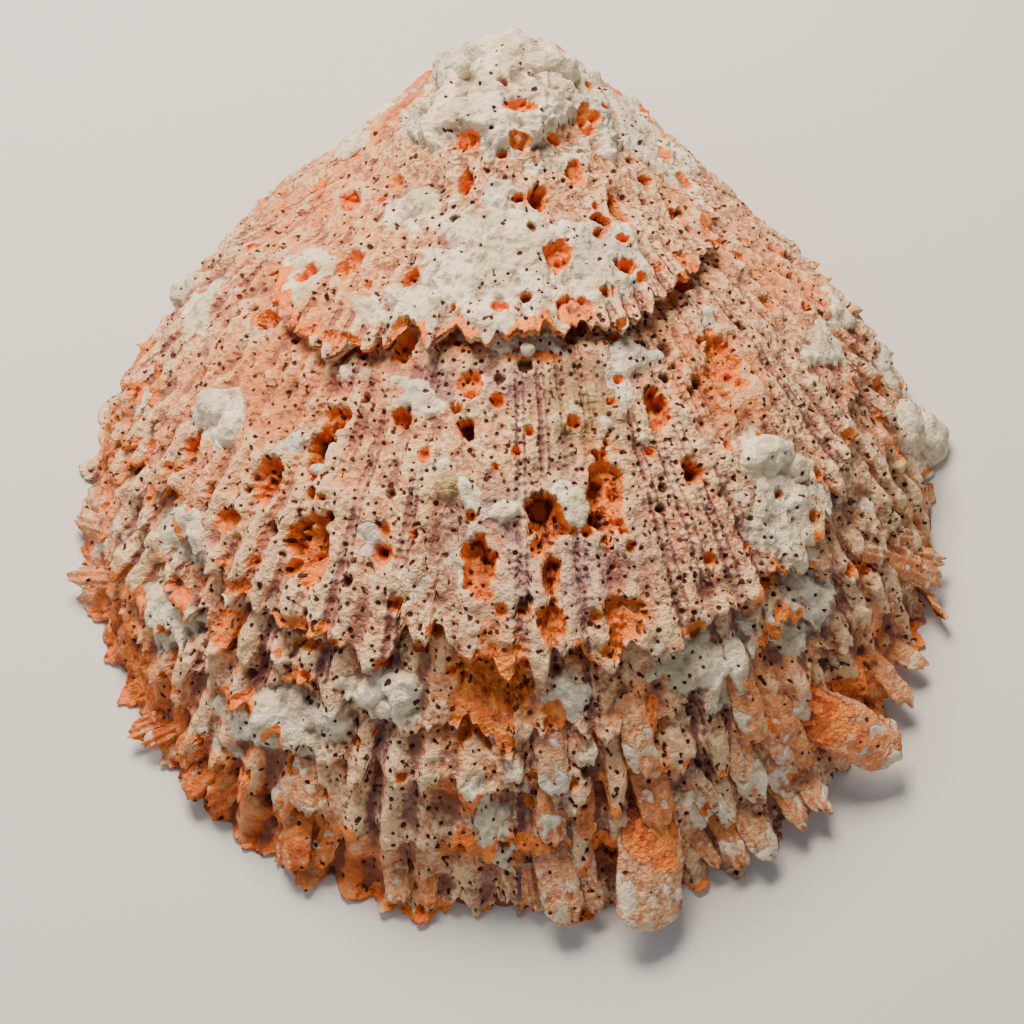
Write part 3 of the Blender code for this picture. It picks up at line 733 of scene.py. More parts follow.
def weather(point, normal, forward, rib, share, fullness):
    """Relief in millimetres above the smooth outside, and the surface marks, for a grid of points."""
    fine = ripple(point, 0.8, 61)
    small = rough(point, 2.5, 62, 2)
    large = rough(point, 9.0, 63, 2)
    warp = 0.24 * ripple(point, 2.0, 64) + 0.16 * fine
    blotch = rough(point, 5.0, 65, 2)

    crust = -np.ones(share.shape)
    crust_height = np.zeros(share.shape)
    for (name, across, down, width, length, height), spot in zip(CRUSTS, crust_spots):
        field = np.minimum(1.15 - oval_distance(point, spot, width, length), 0.42)
        field = field + 0.45 * blotch + 0.5 * warp
        crust = np.maximum(crust, field)
        crust_height = np.maximum(crust_height, height * smooth(field / 0.5))
    dense = np.exp(-0.5 * (oval_distance(point, dense_spot, *DENSE_OVAL, 1.5)) ** 2)
    crust = np.maximum(crust, (rough(point, 10.0, 66, 3) - 0.48 - 0.12 * dense) * 1.8 + 0.4 * warp)

    marks = {mark: np.zeros(share.shape) for mark in ("lilac", "warm", "khaki", "pale")}
    for (name, mark, across, down, half_width, half_length, strength), spot in zip(TINTS, tint_spots):
        away = oval_distance(point, spot, 2.0 * half_width, 2.0 * half_length, 1.6)
        marks[mark] = np.maximum(marks[mark], strength * np.exp(-0.8 * away**2.5))

    crust -= 2.0 * np.maximum(marks["warm"] - 0.6, 0.0)
    crust_height = np.maximum(crust_height, 0.5 * smooth(crust / 0.3))
    crusted = smooth(crust / 0.16 + 0.5)

    rib_number = np.floor(rib + 0.5)
    rib_draw = scatter(np.stack((rib_number, rib_number * 0.0), -1), 67, 2)
    crest = np.cos(2.0 * np.pi * rib)
    along = np.linalg.norm(point[..., :2] - BEAK, axis=-1)
    off_beak = smooth((along - 8.0) / 14.0)
    in_front = smooth((-forward[..., 1] - 0.15) / 0.6)
    turn = 2.0 * np.pi * rib / RIB_COUNT
    fan = np.stack((np.cos(turn), np.sin(turn)), -1) * RIB_COUNT / (2.0 * np.pi)
    unbroken = smooth(0.62 + 0.9 * ripple(np.concatenate((fan * 0.8, along[..., None] / 9.0), -1), 1.0, 77))
    ribbing = (0.14 + 0.34 * smooth((share - 0.55) / 0.4)) * (0.35 + 1.1 * rib_draw[..., 0]) * fullness
    ribbing = ribbing * (0.35 + 0.65 * in_front) * (0.25 + 0.9 * unbroken) * off_beak
    riblet = np.cos(2.0 * np.pi * RIBLETS * rib)
    bead = np.cos(2.0 * np.pi * along / BEAD_PITCH + 3.0 * rib_draw[..., 1])
    groove = np.floor(rib)
    groove_draw = scatter(np.stack((groove, groove * 0.0), -1), 84, 1)[..., 0]
    kept = smooth(0.55 - 0.9 * crest) * smooth((groove_draw - 0.25) / 0.2) * in_front
    kept = kept * smooth((share - 0.3) / 0.2) * smooth(0.85 + 1.3 * ripple(point, 9.0, 85))
    kept = kept * np.maximum(marks["lilac"], 0.35 + 0.65 * dense)
    # Lilac in the grooves between the ribs: partly a lilac tint, partly painted shade.
    groove_lilac = 0.55 * smooth(0.2 - crest) * smooth((share - 0.3) / 0.3) * unbroken
    marks["lilac"] = np.maximum(marks["lilac"], groove_lilac)
    growth_line = ripple(np.concatenate((fan * 0.25, along[..., None] / 1.3), -1), 1.0, 68)
    worn = 1.0 - 0.75 * crusted
    lattice = RIBLET_RELIEF * riblet + BEAD_RELIEF * bead * (riblet > 0.0)
    relief = worn * (ribbing * (1.0 + crest) + kept * lattice)
    relief += worn * GROWTH_LINE_RELIEF * growth_line * fullness * off_beak
    relief += SWELL_RELIEF * large + BUMP_RELIEF * small * (1.0 - 0.4 * crusted) + FINE_RELIEF * fine
    knobs = np.maximum(ripple(point, KNOB_SIZE, 69), 0.0)
    grit = np.abs(ripple(point, GRIT_SIZE, 70))
    relief += worn * (0.45 * knobs + 0.30 * grit) * (1.0 - 0.55 * in_front)
    relief += crust_height + crusted * (0.60 * knobs + 0.42 * grit)

    carve = np.zeros(share.shape)
    fresh = np.zeros(share.shape)
    dark = np.zeros(share.shape)
    cells = 0.5 + 0.5 * ripple(point, 1.3, 71)
    for (name, across, down, width, length, depth, hole_shade), spot in zip(BORINGS, boring_spots):
        inside = 1.0 - oval_distance(point, spot, width, length) + 1.35 * warp
        hollow = smooth((inside + 0.04) / 0.34)
        carve = np.maximum(carve, depth * hollow * (0.72 + 0.4 * cells))
        fresh = np.maximum(fresh, smooth((inside + 0.12) / 0.3))
        marks["warm"] = np.maximum(marks["warm"], 0.50 * smooth((inside + 0.75) / 0.7))
        # Painted shade inside the deeper borings.
        dark = np.maximum(dark, hole_shade * smooth((inside - 0.05) / 0.35))

    bored = carve > 0.4
    _, nest = bored_cells(point[bored], normal[bored], NEST_CELL, NEST_RADIUS, 0.9, 80)
    carve[bored] += NEST_DEPTH * smooth((1.25 - nest) / 0.5)
    # Painted shade at the middle of each nested hole.
    dark[bored] = np.maximum(dark[bored], 0.5 * smooth((0.9 - nest) / 0.3))

    bare = np.clip(1.0 - 0.55 * crusted - 0.6 * marks["warm"], 0.1, 1.0)
    chance = np.clip((0.36 + 0.55 * dense) * bare, 0.0, 0.9)
    pore_offset, pore = bored_cells(point, normal, PORE_CELL, PORE_RADIUS, chance, PORE_SEED)
    pit_chance = 0.30 - 0.12 * crusted
    _, pit = bored_cells(point, normal, PIT_CELL, PIT_RADIUS, pit_chance, 73)
    pit = pit + 0.9 * warp
    carve = np.maximum(carve, PIT_DEPTH * smooth((1.15 - pit) / 0.55))
    pit_kind = scatter(np.floor(point / 9.0), 74, 1)[..., 0] + 0.35 * large
    fresh = np.maximum(fresh, smooth((1.35 - pit) / 0.3) * smooth((pit_kind - 0.25) / 0.2))
    # Painted shade at the middle of some pits.
    dark = np.maximum(dark, 0.8 * smooth((0.95 - pit) / 0.3) * (pit_kind < 0.45))
    relief -= carve + PORE_DEPTH * smooth((1.2 - pore) / 0.5) * (1.0 - 0.5 * smooth(carve))
    lip = bell(pit - 1.35, 0.25) + 0.6 * bell(pore - 1.6, 0.3)
    relief += LIP_RELIEF * lip * worn
    growth = np.stack((RIBLETS * rib, along / BEAD_PITCH + 0.5 * rib_draw[..., 1], kept), -1)
    marks.update(fresh=fresh, dark=dark, crust=crust * 0.5 + 0.5, pore=pore, pore_offset=pore_offset,
                 growth=growth)
    return relief, marks


def packed_marks(marks, cavity_shade):
    """The surface marks as the three attributes that the eroded shell's material reads."""
    first = np.stack((marks["fresh"], marks["crust"], marks["lilac"], marks["warm"]), -1)
    # The second holds how far each point lies below its neighbours: painted shade in hollows and a painted
    # highlight on crests.
    second = np.stack((marks["khaki"], cavity_shade, marks["dark"], marks["pore"]), -1)
    return {"marks_a": first, "marks_b": second, "pore_offset": marks["pore_offset"],
            "growth": marks["growth"]}


def seat_depth(share):
    return SEAT_DEPTH_CROWN + (SEAT_DEPTH_MARGIN - SEAT_DEPTH_CROWN) * smooth((share - 0.6) / 0.3)


def wandering_edge(share, tongue, edge, rib, ray, seed):
    """Share at which a growth step ends on each rib, with its tongues, breaks and ragged nicks."""
    turn = np.arctan2(edge[:, 1] - CROWN[1], edge[:, 0] - CROWN[0])
    around = np.stack((np.cos(turn), np.sin(turn), np.full_like(turn, seed)), -1)
    wander = 0.016 * rough(around, 0.5, seed, 2) * min(1.0, (1.0 - share) * 12.0)
    left = bell(np.degrees(turn) % 360.0 - 208.0, 19.0)
    wander += left * (0.10 * bell(share - 0.48, 0.08) + 0.03 * bell(share - 0.8, 0.05))
    number = np.floor(rib + 0.5)
    draw = scatter(np.stack((number % RIB_COUNT, number * 0.0), -1), seed + 5, 2)
    lobe = smooth(0.5 + 0.75 * np.cos(2.0 * np.pi * rib)) ** 0.7
    long = tongue * (0.15 + 1.2 * draw[:, 0] ** 2) * np.where(draw[:, 1] < 0.2, -0.8, 1.0)
    spot = np.concatenate((edge, np.full((len(edge), 1), 10.0 * seed)), -1) * min(1.0, share + 0.1)
    nicks = 1.7 * ripple(spot, 4.5, seed + 6) + 1.0 * ripple(spot, 1.8, seed + 7)
    nicks = nicks + 0.5 * ripple(spot, 0.8, seed + 8)
    calm = 0.35 + 0.65 * smooth((0.45 - np.sin(turn)) / 0.7)
    torn = (long * lobe + nicks * np.minimum(1.0, ray / 60.0)) * calm / ray
    return share + wander, share + wander + torn, lobe * draw[:, 0]


def layer_offset(grow, rise, fullness, tongue_lift):
    """Height in millimetres of a growth layer over the smooth outside; grow runs from 0 to 1 at the edge."""
    tuck = TUCK * (1.0 - smooth(grow / 0.22))
    lift = 0.7 * tongue_lift * np.clip(grow, 0.0, 1.0) ** 8
    return fullness * (rise * np.clip(grow, 0.0, 1.0) ** 1.8 + lift) - tuck - SETTLED


def along_layer(edge, share, ray):
    """Frame of the smooth outside at shares of the ribs; past the margin it runs on, level."""
    point, normal, forward = outside_frame(rib_place(edge, np.minimum(share, 1.0)))
    point[..., :2] += unit(edge - CROWN) * (np.maximum(share - 1.0, 0.0) * ray)[..., None]
    return point, normal, forward


def add_underside(rings, packed, ring, point, is_tip, is_seat):
    """Adds one ring of a layer's underside: torn patches of fresh orange shell and no other mark."""
    torn = np.clip(0.42 + 0.75 * rough(point, 7.0, 78, 2), 0.0, 1.0) * (0.5 if is_tip else 1.0)
    torn = np.maximum(torn, float(is_seat))
    nothing = np.zeros(len(ring))
    rings.append(ring)
    packed["marks_a"].append(np.stack((torn, nothing, nothing, nothing), -1))
    packed["marks_b"].append(np.stack((nothing, nothing, nothing, nothing + FAR), -1))
    packed["pore_offset"].append(np.full((len(ring), 3), FAR))
    packed["growth"].append(np.zeros((len(ring), 3)))


def layer_rows(edge, rib, start, seen_from, plain_end, end, rise, lobes, rows):
    """Rows of points of one growth layer, top, ragged edge, underside and hidden seat, with marks."""
    ray = np.linalg.norm(edge - BEAK, axis=-1)
    fullness = np.clip(ray / FULL_RAY, 0.15, 1.0)
    length = (end - start) * ray
    top_grow = np.linspace(0.0, 1.0, rows)[:, None] ** 0.92
    share = start + (end - start) * top_grow
    point, normal, forward = along_layer(edge, share, ray)
    full = np.broadcast_to(fullness, share.shape)
    relief, marks = weather(point, normal, forward, np.broadcast_to(rib, share.shape), share, full)
    plain = layer_offset((share - start) / (plain_end - start), rise, fullness, lobes)
    from_edge = (1.0 - top_grow) * length
    patch = rough(point, 8.0, 79, 2)
    broken_tip = smooth(1.0 - from_edge / 1.8 + 0.6 * patch) * smooth((patch - 0.14) / 0.2)
    marks["fresh"] = np.maximum(marks["fresh"], broken_tip * (1.0 - marks["pale"]))
    sheltered = smooth(1.2 - (share - seen_from) * ray / 3.5)
    sheltered = sheltered * np.clip(0.40 + 1.1 * patch, 0.0, 0.95) * (1.0 - 0.8 * marks["pale"])
    marks["warm"] = np.maximum(marks["warm"], sheltered)
    thickness = 0.85 + 0.25 * ripple(np.stack((rib, rib * 0.0, rib * 0.0 + start), -1), 1.4, 75)
    free = smooth((length * (top_grow - 1.0) + FREE_LENGTH) / 1.2)
    lowest = -(seat_depth(share) - 0.5) * (1.0 - free) + (plain - thickness + 0.3) * free
    top = np.maximum(plain + relief * smooth(top_grow / 0.05), lowest)
    top_points = point + normal * top[..., None]
    top_points[..., 2] = np.maximum(top_points[..., 2], TOP_CLEARANCE)
    rings = list(top_points)
    # Depth below the neighbouring points, which the material paints as shade in hollows.
    packed = packed_marks(marks, blurred(top, CAVITY_SHADE_REACH) - top)
    packed = {key: list(values) for key, values in packed.items()}

    free_share = np.minimum(FREE_LENGTH / length, 0.8)
    under = [(np.ones_like(length), tip * thickness) for tip in (0.4, 0.9)]
    under += [(1.0 - free_share * back, thickness + 0.5 * back) for back in np.linspace(0.15, 1.0, 6)]
    under_rows = []
    for grow, drop in under:
        plain_grow = (end - start) * grow / (plain_end - start)
        under_rows.append((grow, layer_offset(plain_grow, rise, fullness, lobes) - drop))
    for grow in (0.7, 0.35, 0.0):
        deep = np.minimum(start + (end - start) * grow, 1.0)
        under_rows.append((np.minimum(grow, 1.0 - free_share), -seat_depth(deep)))
    for number, (grow, offset) in enumerate(under_rows):
        point, normal, _ = along_layer(edge, start + (end - start) * grow, ray)
        ridged = 0.25 * np.cos(2.0 * np.pi * rib) + 0.2 * ripple(point, 1.5, 76)
        ring = point + normal * (offset + ridged * (number >= 2))[:, None]
        ring[:, 2] = np.maximum(ring[:, 2], UNDER_CLEARANCE)
        add_underside(rings, packed, ring, point, number < 1, number > 6)
    return np.array(rings), {key: np.array(values) for key, values in packed.items()}


def tube_from_rings(name, rings, marks):
    """A closed band whose sections run through these rings, the last ring joined back to the first."""
    row_count, columns = rings.shape[:2]
    band = bmesh.new()
    bmesh.ops.create_grid(band, x_segments=columns, y_segments=row_count, size=1.0)
    data = bpy.data.meshes.new(name)
    band.to_mesh(data)
    band.free()
    row = np.arange(row_count + 1)[:, None] % row_count
    column = np.arange(columns + 1)[None] % columns
    data.vertices.foreach_set("co", (rings[row, column] * MM).astype(np.float32).ravel())
    store_marks(data, {key: values[row, column].reshape(-1, values.shape[-1])
                       for key, values in marks.items()})
    shaped = bmesh.new()
    shaped.from_mesh(data)
    shaped.verts.ensure_lookup_table()
    wide = columns + 1
    joined = {shaped.verts[r * wide + columns]: shaped.verts[(r % row_count) * wide]
              for r in range(row_count + 1)}
    joined.update({shaped.verts[row_count * wide + c]: shaped.verts[c] for c in range(columns)})
    bmesh.ops.weld_verts(shaped, targetmap=joined)
    if shaped.calc_volume(signed=True) < 0.0:
        bmesh.ops.reverse_faces(shaped, faces=shaped.faces)
    shaped.to_mesh(data)
    shaped.free()
    return data


eroded_shell = bpy.data.materials.new("eroded_shell")
# Weathered shell lime: chalky cream and pink, white where lime has crusted it, and glossy orange where it
# has broken open. Painted shade darkens its pores, deep holes and hollows, and its crests are lighter
# from wear and a painted highlight.
eroded_shell.use_nodes = True
shell_place = add_node(eroded_shell, "ShaderNodeTexCoord", "Object")
marks_a = add_node(eroded_shell, "ShaderNodeAttribute", None, attribute_name="marks_a")
marks_b = add_node(eroded_shell, "ShaderNodeAttribute", None, attribute_name="marks_b")
split_a = add_node(eroded_shell, "ShaderNodeSeparateColor", None, [("Color", marks_a.outputs["Color"])])
split_b = add_node(eroded_shell, "ShaderNodeSeparateColor", None, [("Color", marks_b.outputs["Color"])])
pore_place = add_node(eroded_shell, "ShaderNodeAttribute", "Vector", attribute_name="pore_offset")
pore_length = add_node(eroded_shell, "ShaderNodeVectorMath", "Value", [(0, pore_place)], operation="LENGTH")
growth = add_node(eroded_shell, "ShaderNodeAttribute", "Vector", attribute_name="growth")
growth_split = add_node(eroded_shell, "ShaderNodeSeparateXYZ", None, [("Vector", growth)])
fresh_cells = add_node(eroded_shell, "ShaderNodeTexVoronoi", "Distance",
                       [("Vector", shell_place), ("Scale", 1000.0 / FRESH_CELL)])
signals = {
    "fresh": split_a.outputs["Red"], "crust": split_a.outputs["Green"], "lilac": split_a.outputs["Blue"],
    "warm": marks_a.outputs["Alpha"], "khaki": split_b.outputs["Red"], "cavity_shade": split_b.outputs["Green"],
    "dark": split_b.outputs["Blue"], "pore": marks_b.outputs["Alpha"], "pore_length": pore_length,
    "ribs": growth_split.outputs["X"], "beads": growth_split.outputs["Y"],
    "kept": growth_split.outputs["Z"], "fresh_cells": fresh_cells,
}

# Noises: (name, size of the spots in millimetres, detail, shift of the pattern in metres).
for name, spot_size, detail, shift in (
    ("broad", 16.0, 3.0, 0.0),
    ("medium", 5.0, 4.0, 0.3),
    ("grain", 1.5, 4.0, 0.7),
    ("speck", 0.7, 3.0, 0.2),
    ("dust", 0.30, 2.0, 0.9),
    ("orange_cloud", 2.6, 3.0, 0.5),
):
    moved = add_node(eroded_shell, "ShaderNodeVectorMath", "Vector",
                     [(0, shell_place), (1, (shift, shift, shift))], operation="ADD")
    signals[name] = add_node(eroded_shell, "ShaderNodeTexNoise", "Fac",
                             [("Vector", moved), ("Scale", 1000.0 / spot_size), ("Detail", detail)])

# Each step makes a signal of others with a sum. EASE takes a signal between two levels, in the order
# (signal, first level, second level, amount at the first, amount at the second), 0 and 1 if not given.
EASE_INPUTS = ("Value", "From Min", "From Max", "To Min", "To Max")
FULL_TURN = 2.0 * math.pi
for result, operation, *operands in (
    ("rosy_patch", "EASE", "medium", 0.55, 0.45),
    ("rosy_grain", "EASE", "grain", 0.50, 0.60, 0.0, 0.7),
    ("rosy", "MULTIPLY", "rosy_patch", "rosy_grain"),
    ("riblet_sway", "MULTIPLY", "medium", 4.0),
    ("riblet_turn", "MULTIPLY_ADD", "ribs", FULL_TURN, "riblet_sway"),
    ("riblet", "COSINE", "riblet_turn"),
    ("bead_sway", "MULTIPLY", "medium", 7.0),
    ("bead_turn", "MULTIPLY_ADD", "beads", FULL_TURN, "bead_sway"),
    ("bead", "COSINE", "bead_turn"),
    ("lattice", "MULTIPLY_ADD", "bead", 0.5, "riblet"),
    ("crust_speck", "MULTIPLY_ADD", "speck", 0.26, "crust"),
    ("crust_field", "MULTIPLY_ADD", "grain", 0.34, "crust_speck"),
    ("crust_amount", "EASE", "crust_field", 0.73, 0.86),
    ("no_crust", "SUBTRACT", 1.0, "crust_amount"),
    ("kept_field", "MULTIPLY_ADD", "grain", 0.5, "kept"),
    ("kept_patch", "EASE", "kept_field", 0.40, 0.75),
    ("kept_surface", "MULTIPLY", "kept_patch", "no_crust"),
    ("lattice_low", "EASE", "lattice", 0.10, -0.75, 0.0, 0.9),
    ("grooved", "MULTIPLY", "lattice_low", "kept_surface"),
    ("lattice_high", "EASE", "lattice", 0.35, 1.2, 0.0, 0.6),
    ("beaded", "MULTIPLY", "lattice_high", "kept_surface"),
    ("lilac_field", "MULTIPLY_ADD", "speck", 0.7, "lilac"),
    ("khaki_field", "MULTIPLY_ADD", "medium", 0.8, "khaki"),
    ("warm_field", "MULTIPLY_ADD", "broad", 0.5, "warm"),
    ("peach_field", "MULTIPLY_ADD", "medium", 0.9, "warm_field"),
    ("orange_field", "MULTIPLY_ADD", "grain", 0.6, "warm_field"),
    ("cavity_shade_field", "MULTIPLY_ADD", "grain", 0.35, "cavity_shade"),
    # Lighter on the raised crests: partly wear, partly painted highlight.
    ("wear_and_highlight_field", "MULTIPLY_ADD", "speck", -0.8, "cavity_shade"),
    ("wear_and_highlight_rise", "EASE", "wear_and_highlight_field", -0.90, -0.52, 0.55, 0.0),
    ("not_warm", "EASE", "warm", 0.5, 1.0, 1.0, 0.2),
    ("wear_and_highlight_crest", "MULTIPLY", "wear_and_highlight_rise", "not_warm"),
    ("fresh_field", "MULTIPLY_ADD", "speck", 0.55, "fresh"),
    ("fresh_amount", "EASE", "fresh_field", 0.68, 0.80),
    ("pore_round", "EASE", "pore_length", 0.80, 1.10, 1.0, 0.0),
    ("pore_near", "EASE", "pore", 1.25, 1.55, 1.0, 0.0),
    ("pore_dent_and_shade", "MULTIPLY", "pore_round", "pore_near"),
    ("roughness", "EASE", "fresh_amount", 0.0, 1.0, 0.88, 0.5),
    ("lattice_share", "MULTIPLY", "kept_surface", 0.26),
    ("lattice_height", "MULTIPLY", "lattice", "lattice_share"),
    ("pored_height", "MULTIPLY_ADD", "pore_dent_and_shade", -0.5, "lattice_height"),
    ("dusty_grain", "MULTIPLY_ADD", "dust", 0.25, "grain"),
    ("rough_grain", "MULTIPLY_ADD", "speck", 0.7, "dusty_grain"),
    ("grain_share", "EASE", "crust_amount", 0.0, 1.0, 1.0, 0.65),
    ("grain_height", "MULTIPLY", "rough_grain", "grain_share"),
    ("height", "ADD", "grain_height", "pored_height"),
):
    operands = [signals[value] if isinstance(value, str) else value for value in operands]
    if operation == "EASE":
        signals[result] = add_node(eroded_shell, "ShaderNodeMapRange", "Result",
                                   zip(EASE_INPUTS, operands), interpolation_type="SMOOTHSTEP")
    else:
        signals[result] = add_node(eroded_shell, "ShaderNodeMath", "Value",
                                   enumerate(operands), operation=operation)

# Coats from the bottom up: (colour they lie on, their colour, signal that spreads them, and its EASE).
colours = {"shell": linear("#e0ab7b"), "deep_orange": linear("#b4521a"), "lime": linear("#ebdfc4"),
           "orange": linear("#b8420e")}
for below, coat, spread, *levels in (
    ("shell", "#cf8d66", "broad", 0.38, 0.62),
    ("shell", "#e8c494", "medium", 0.49, 0.62),
    ("shell", "#976a60", "grain", 0.36, 0.48, 0.85, 0.0),
    ("shell", "#f2d8ac", "speck", 0.52, 0.62, 0.0, 0.8),
    ("shell", "#98624c", "speck", 0.36, 0.46, 0.7, 0.0),
    ("shell", "#e59a66", "rosy"),
    ("shell", "#74434a", "grooved"),
    ("shell", "#e6cdb4", "beaded"),
    # Lilac tint, with painted shade under the first step, in the rib grooves and at the roots of the frills.
    ("shell", "#80586a", "lilac_field", 0.60, 1.15, 0.0, 0.65),
    ("shell", "#94804f", "khaki_field", 0.65, 1.05, 0.0, 0.65),
    ("shell", "#e08a4e", "peach_field", 0.74, 1.20, 0.0, 0.80),
    ("deep_orange", "#dc762a", "medium", 0.42, 0.58),
    ("shell", "deep_orange", "orange_field", 0.98, 1.26, 0.0, 0.94),
    # Painted shade: darker where the shell lies below its neighbours.
    ("shell", "#7c4840", "cavity_shade_field", 0.22, 0.62, 0.0, 0.75),
    # Lighter raised crests: partly wear, partly painted highlight.
    ("shell", "#ecd0a6", "wear_and_highlight_crest"),
    ("lime", "#cdbf9f", "medium", 0.4, 0.6),
    ("lime", "#c4beb0", "broad", 0.50, 0.62, 0.0, 0.7),
    ("lime", "#a5967c", "grain", 0.36, 0.48, 0.6, 0.0),
    # Painted shade in the hollows of the lime crust.
    ("lime", "#8a7a68", "cavity_shade_field", 0.28, 0.60, 0.0, 0.7),
    ("shell", "lime", "crust_amount"),
    ("orange", "#ec7420", "fresh_cells", 0.10, 0.45),
    ("orange", "#f08a34", "orange_cloud", 0.42, 0.60),
    # Painted shade deep in the broken orange hollows.
    ("orange", "#93340f", "cavity_shade_field", 0.9, 2.8),
    ("shell", "orange", "fresh_amount"),
    # Painted shade inside the pinholes.
    ("shell", "#4c1e16", "pore_dent_and_shade"),
    # Painted shade deep in the borings, their nested holes and some pits.
    ("shell", "#431a10", "dark"),
):
    share = signals[spread]
    if levels:
        share = add_node(eroded_shell, "ShaderNodeMapRange", "Result",
                         zip(EASE_INPUTS, (share, *levels)), interpolation_type="SMOOTHSTEP")
    over = linear(coat) if coat.startswith("#") else colours[coat]
    colours[below] = add_node(eroded_shell, "ShaderNodeMix", "Result",
                              [("Factor", share), ("A", colours[below]), ("B", over)], data_type="RGBA")
shell_bump = add_node(eroded_shell, "ShaderNodeBump", "Normal",
                      [("Height", signals["height"]), ("Strength", 0.8), ("Distance", BUMP_DISTANCE)])
join_shader(eroded_shell, {"Base Color": colours["shell"], "Roughness": signals["roughness"],
                           "Normal": shell_bump})

last_end = FIRST_STEP
for number, (name, start, end, rise, tongue, rows, columns) in enumerate(LAYERS, start=2):
    angles, ribs = margin_columns(columns)
    angles, ribs = angles[:-1], ribs[:-1]
    edge = margin_point(angles)
    ray = np.linalg.norm(edge - BEAK, axis=-1)
    plain_end, torn_end, lobes = wandering_edge(end, tongue, edge, ribs, ray, number)
    rings, marks = layer_rows(edge, ribs, start, last_end, plain_end, torn_end, rise, lobes, rows)
    last_end = end
    finish_piece(tube_from_rings(name, rings, marks), eroded_shell)

# Umbo cap
# The oldest growth layer, round the beak. It has the same make as the layers under it, and its ragged
# lower edge is the highest of the growth steps.

CAP_CENTRE = np.array((0.0, 30.0))
CAP_COLUMNS = 560
CAP_RINGS = 128
CAP_LOWEST = -5.4
CAP_THICKNESS = 0.9
# (way in from the edge, depth under the top), from the edge to the seat; millimetres.
CAP_UNDERSIDE = ((0.0, 0.4), (0.0, 0.9), (1.2, 1.0), (2.6, 1.1), (4.2, 1.3),
                 (4.9, 6.0), (15.0, 6.0), (26.0, 6.0))
CAP_FREE_RINGS = 5

cap_angles, cap_ribs = margin_columns(CAP_COLUMNS)
cap_angles, cap_ribs = cap_angles[:-1], cap_ribs[:-1]
cap_margin = margin_point(cap_angles)
cap_ray = np.linalg.norm(cap_margin - BEAK, axis=-1)
cap_plain_end, cap_end, cap_lobes = wandering_edge(FIRST_STEP, 1.6, cap_margin, cap_ribs, cap_ray, 1)
cap_edge = rib_place(cap_margin, cap_end)
cap_fan = np.unwrap(np.arctan2(cap_edge[:, 1] - BEAK[1], cap_edge[:, 0] - BEAK[0]))
cap_reach = np.linalg.norm(cap_edge - BEAK, axis=-1)


def around_beak(place, values):
    """Values given round the cap's edge, read at the directions of other places seen from the beak."""
    fan = np.arctan2(place[..., 1] - BEAK[1], place[..., 0] - BEAK[0])
    fan = (fan - cap_fan[0]) % (2.0 * np.pi) + cap_fan[0]
    turned_fan = np.concatenate((cap_fan, (cap_fan[0] + 2.0 * np.pi,)))
    return np.interp(fan, turned_fan, np.concatenate((values, (values[-1],))))


cap_part = (np.arange(1, CAP_RINGS + 1) / CAP_RINGS)[:, None, None] ** 0.9
cap_place = CAP_CENTRE + (cap_edge - CAP_CENTRE) * cap_part
cap_away = np.linalg.norm(cap_place - BEAK, axis=-1)
cap_grow = np.clip(cap_away / around_beak(cap_place, cap_reach * cap_plain_end / cap_end), 0.0, 1.0)
cap_fullness = np.clip(around_beak(cap_place, cap_ray) / FULL_RAY, 0.15, 1.0)
cap_point, cap_normal, cap_forward = outside_frame(cap_place)
cap_relief, cap_marks = weather(cap_point, cap_normal, cap_forward, around_beak(cap_place, cap_ribs),
                                cap_grow * FIRST_STEP, cap_fullness)
cap_plain = layer_offset(cap_grow, FIRST_RISE, cap_fullness, around_beak(cap_place, cap_lobes)) + TUCK
cap_plain -= TUCK * smooth(cap_grow / 0.22)
cap_patch = rough(cap_point, 8.0, 79, 2)
cap_from_edge = np.linalg.norm(cap_edge - cap_place, axis=-1)
cap_tip = smooth(1.1 - cap_from_edge / 2.2 + 0.6 * cap_patch) * smooth((cap_patch - 0.10) / 0.15)
cap_marks["fresh"] = np.maximum(cap_marks["fresh"], cap_tip)
cap_free = smooth((FREE_LENGTH - cap_from_edge) / 1.2)
cap_lowest = CAP_LOWEST * (1.0 - cap_free) + (cap_plain - CAP_THICKNESS + 0.3) * cap_free
cap_top = np.maximum(cap_plain + cap_relief, cap_lowest)
cap_rings = list(cap_point + cap_normal * cap_top[..., None])
# Depth below the neighbouring points, which the material paints as shade in hollows.
cap_packed = packed_marks(cap_marks, blurred(cap_top, CAVITY_SHADE_REACH) - cap_top)
cap_packed = {key: list(values) for key, values in cap_packed.items()}
cap_inward = CAP_CENTRE - cap_edge
cap_width = np.linalg.norm(cap_inward, axis=-1)
for number, (retreat, drop) in enumerate(CAP_UNDERSIDE):
    place = cap_edge + unit(cap_inward) * np.minimum(retreat, 0.9 * cap_width)[:, None]
    point, normal, _ = outside_frame(place)
    plain = cap_plain[-1] if number < CAP_FREE_RINGS else 0.0
    ridged = 0.2 * ripple(point, 1.5, 76) * (1 < number < CAP_FREE_RINGS)
    ring = point + normal * (plain - drop + ridged)[:, None]
    add_underside(cap_rings, cap_packed, ring, point, number < 1, False)
cap_data = ball_from_rings("umbo_cap", np.array(cap_rings),
                           {key: np.array(values) for key, values in cap_packed.items()})
finish_piece(cap_data, eroded_shell)

# Frills
# Thin hollow tongues of shell that grew out from the free edges of the layers, one on a rib, open
# underneath and orange there. They are fused into the layer they stand on.

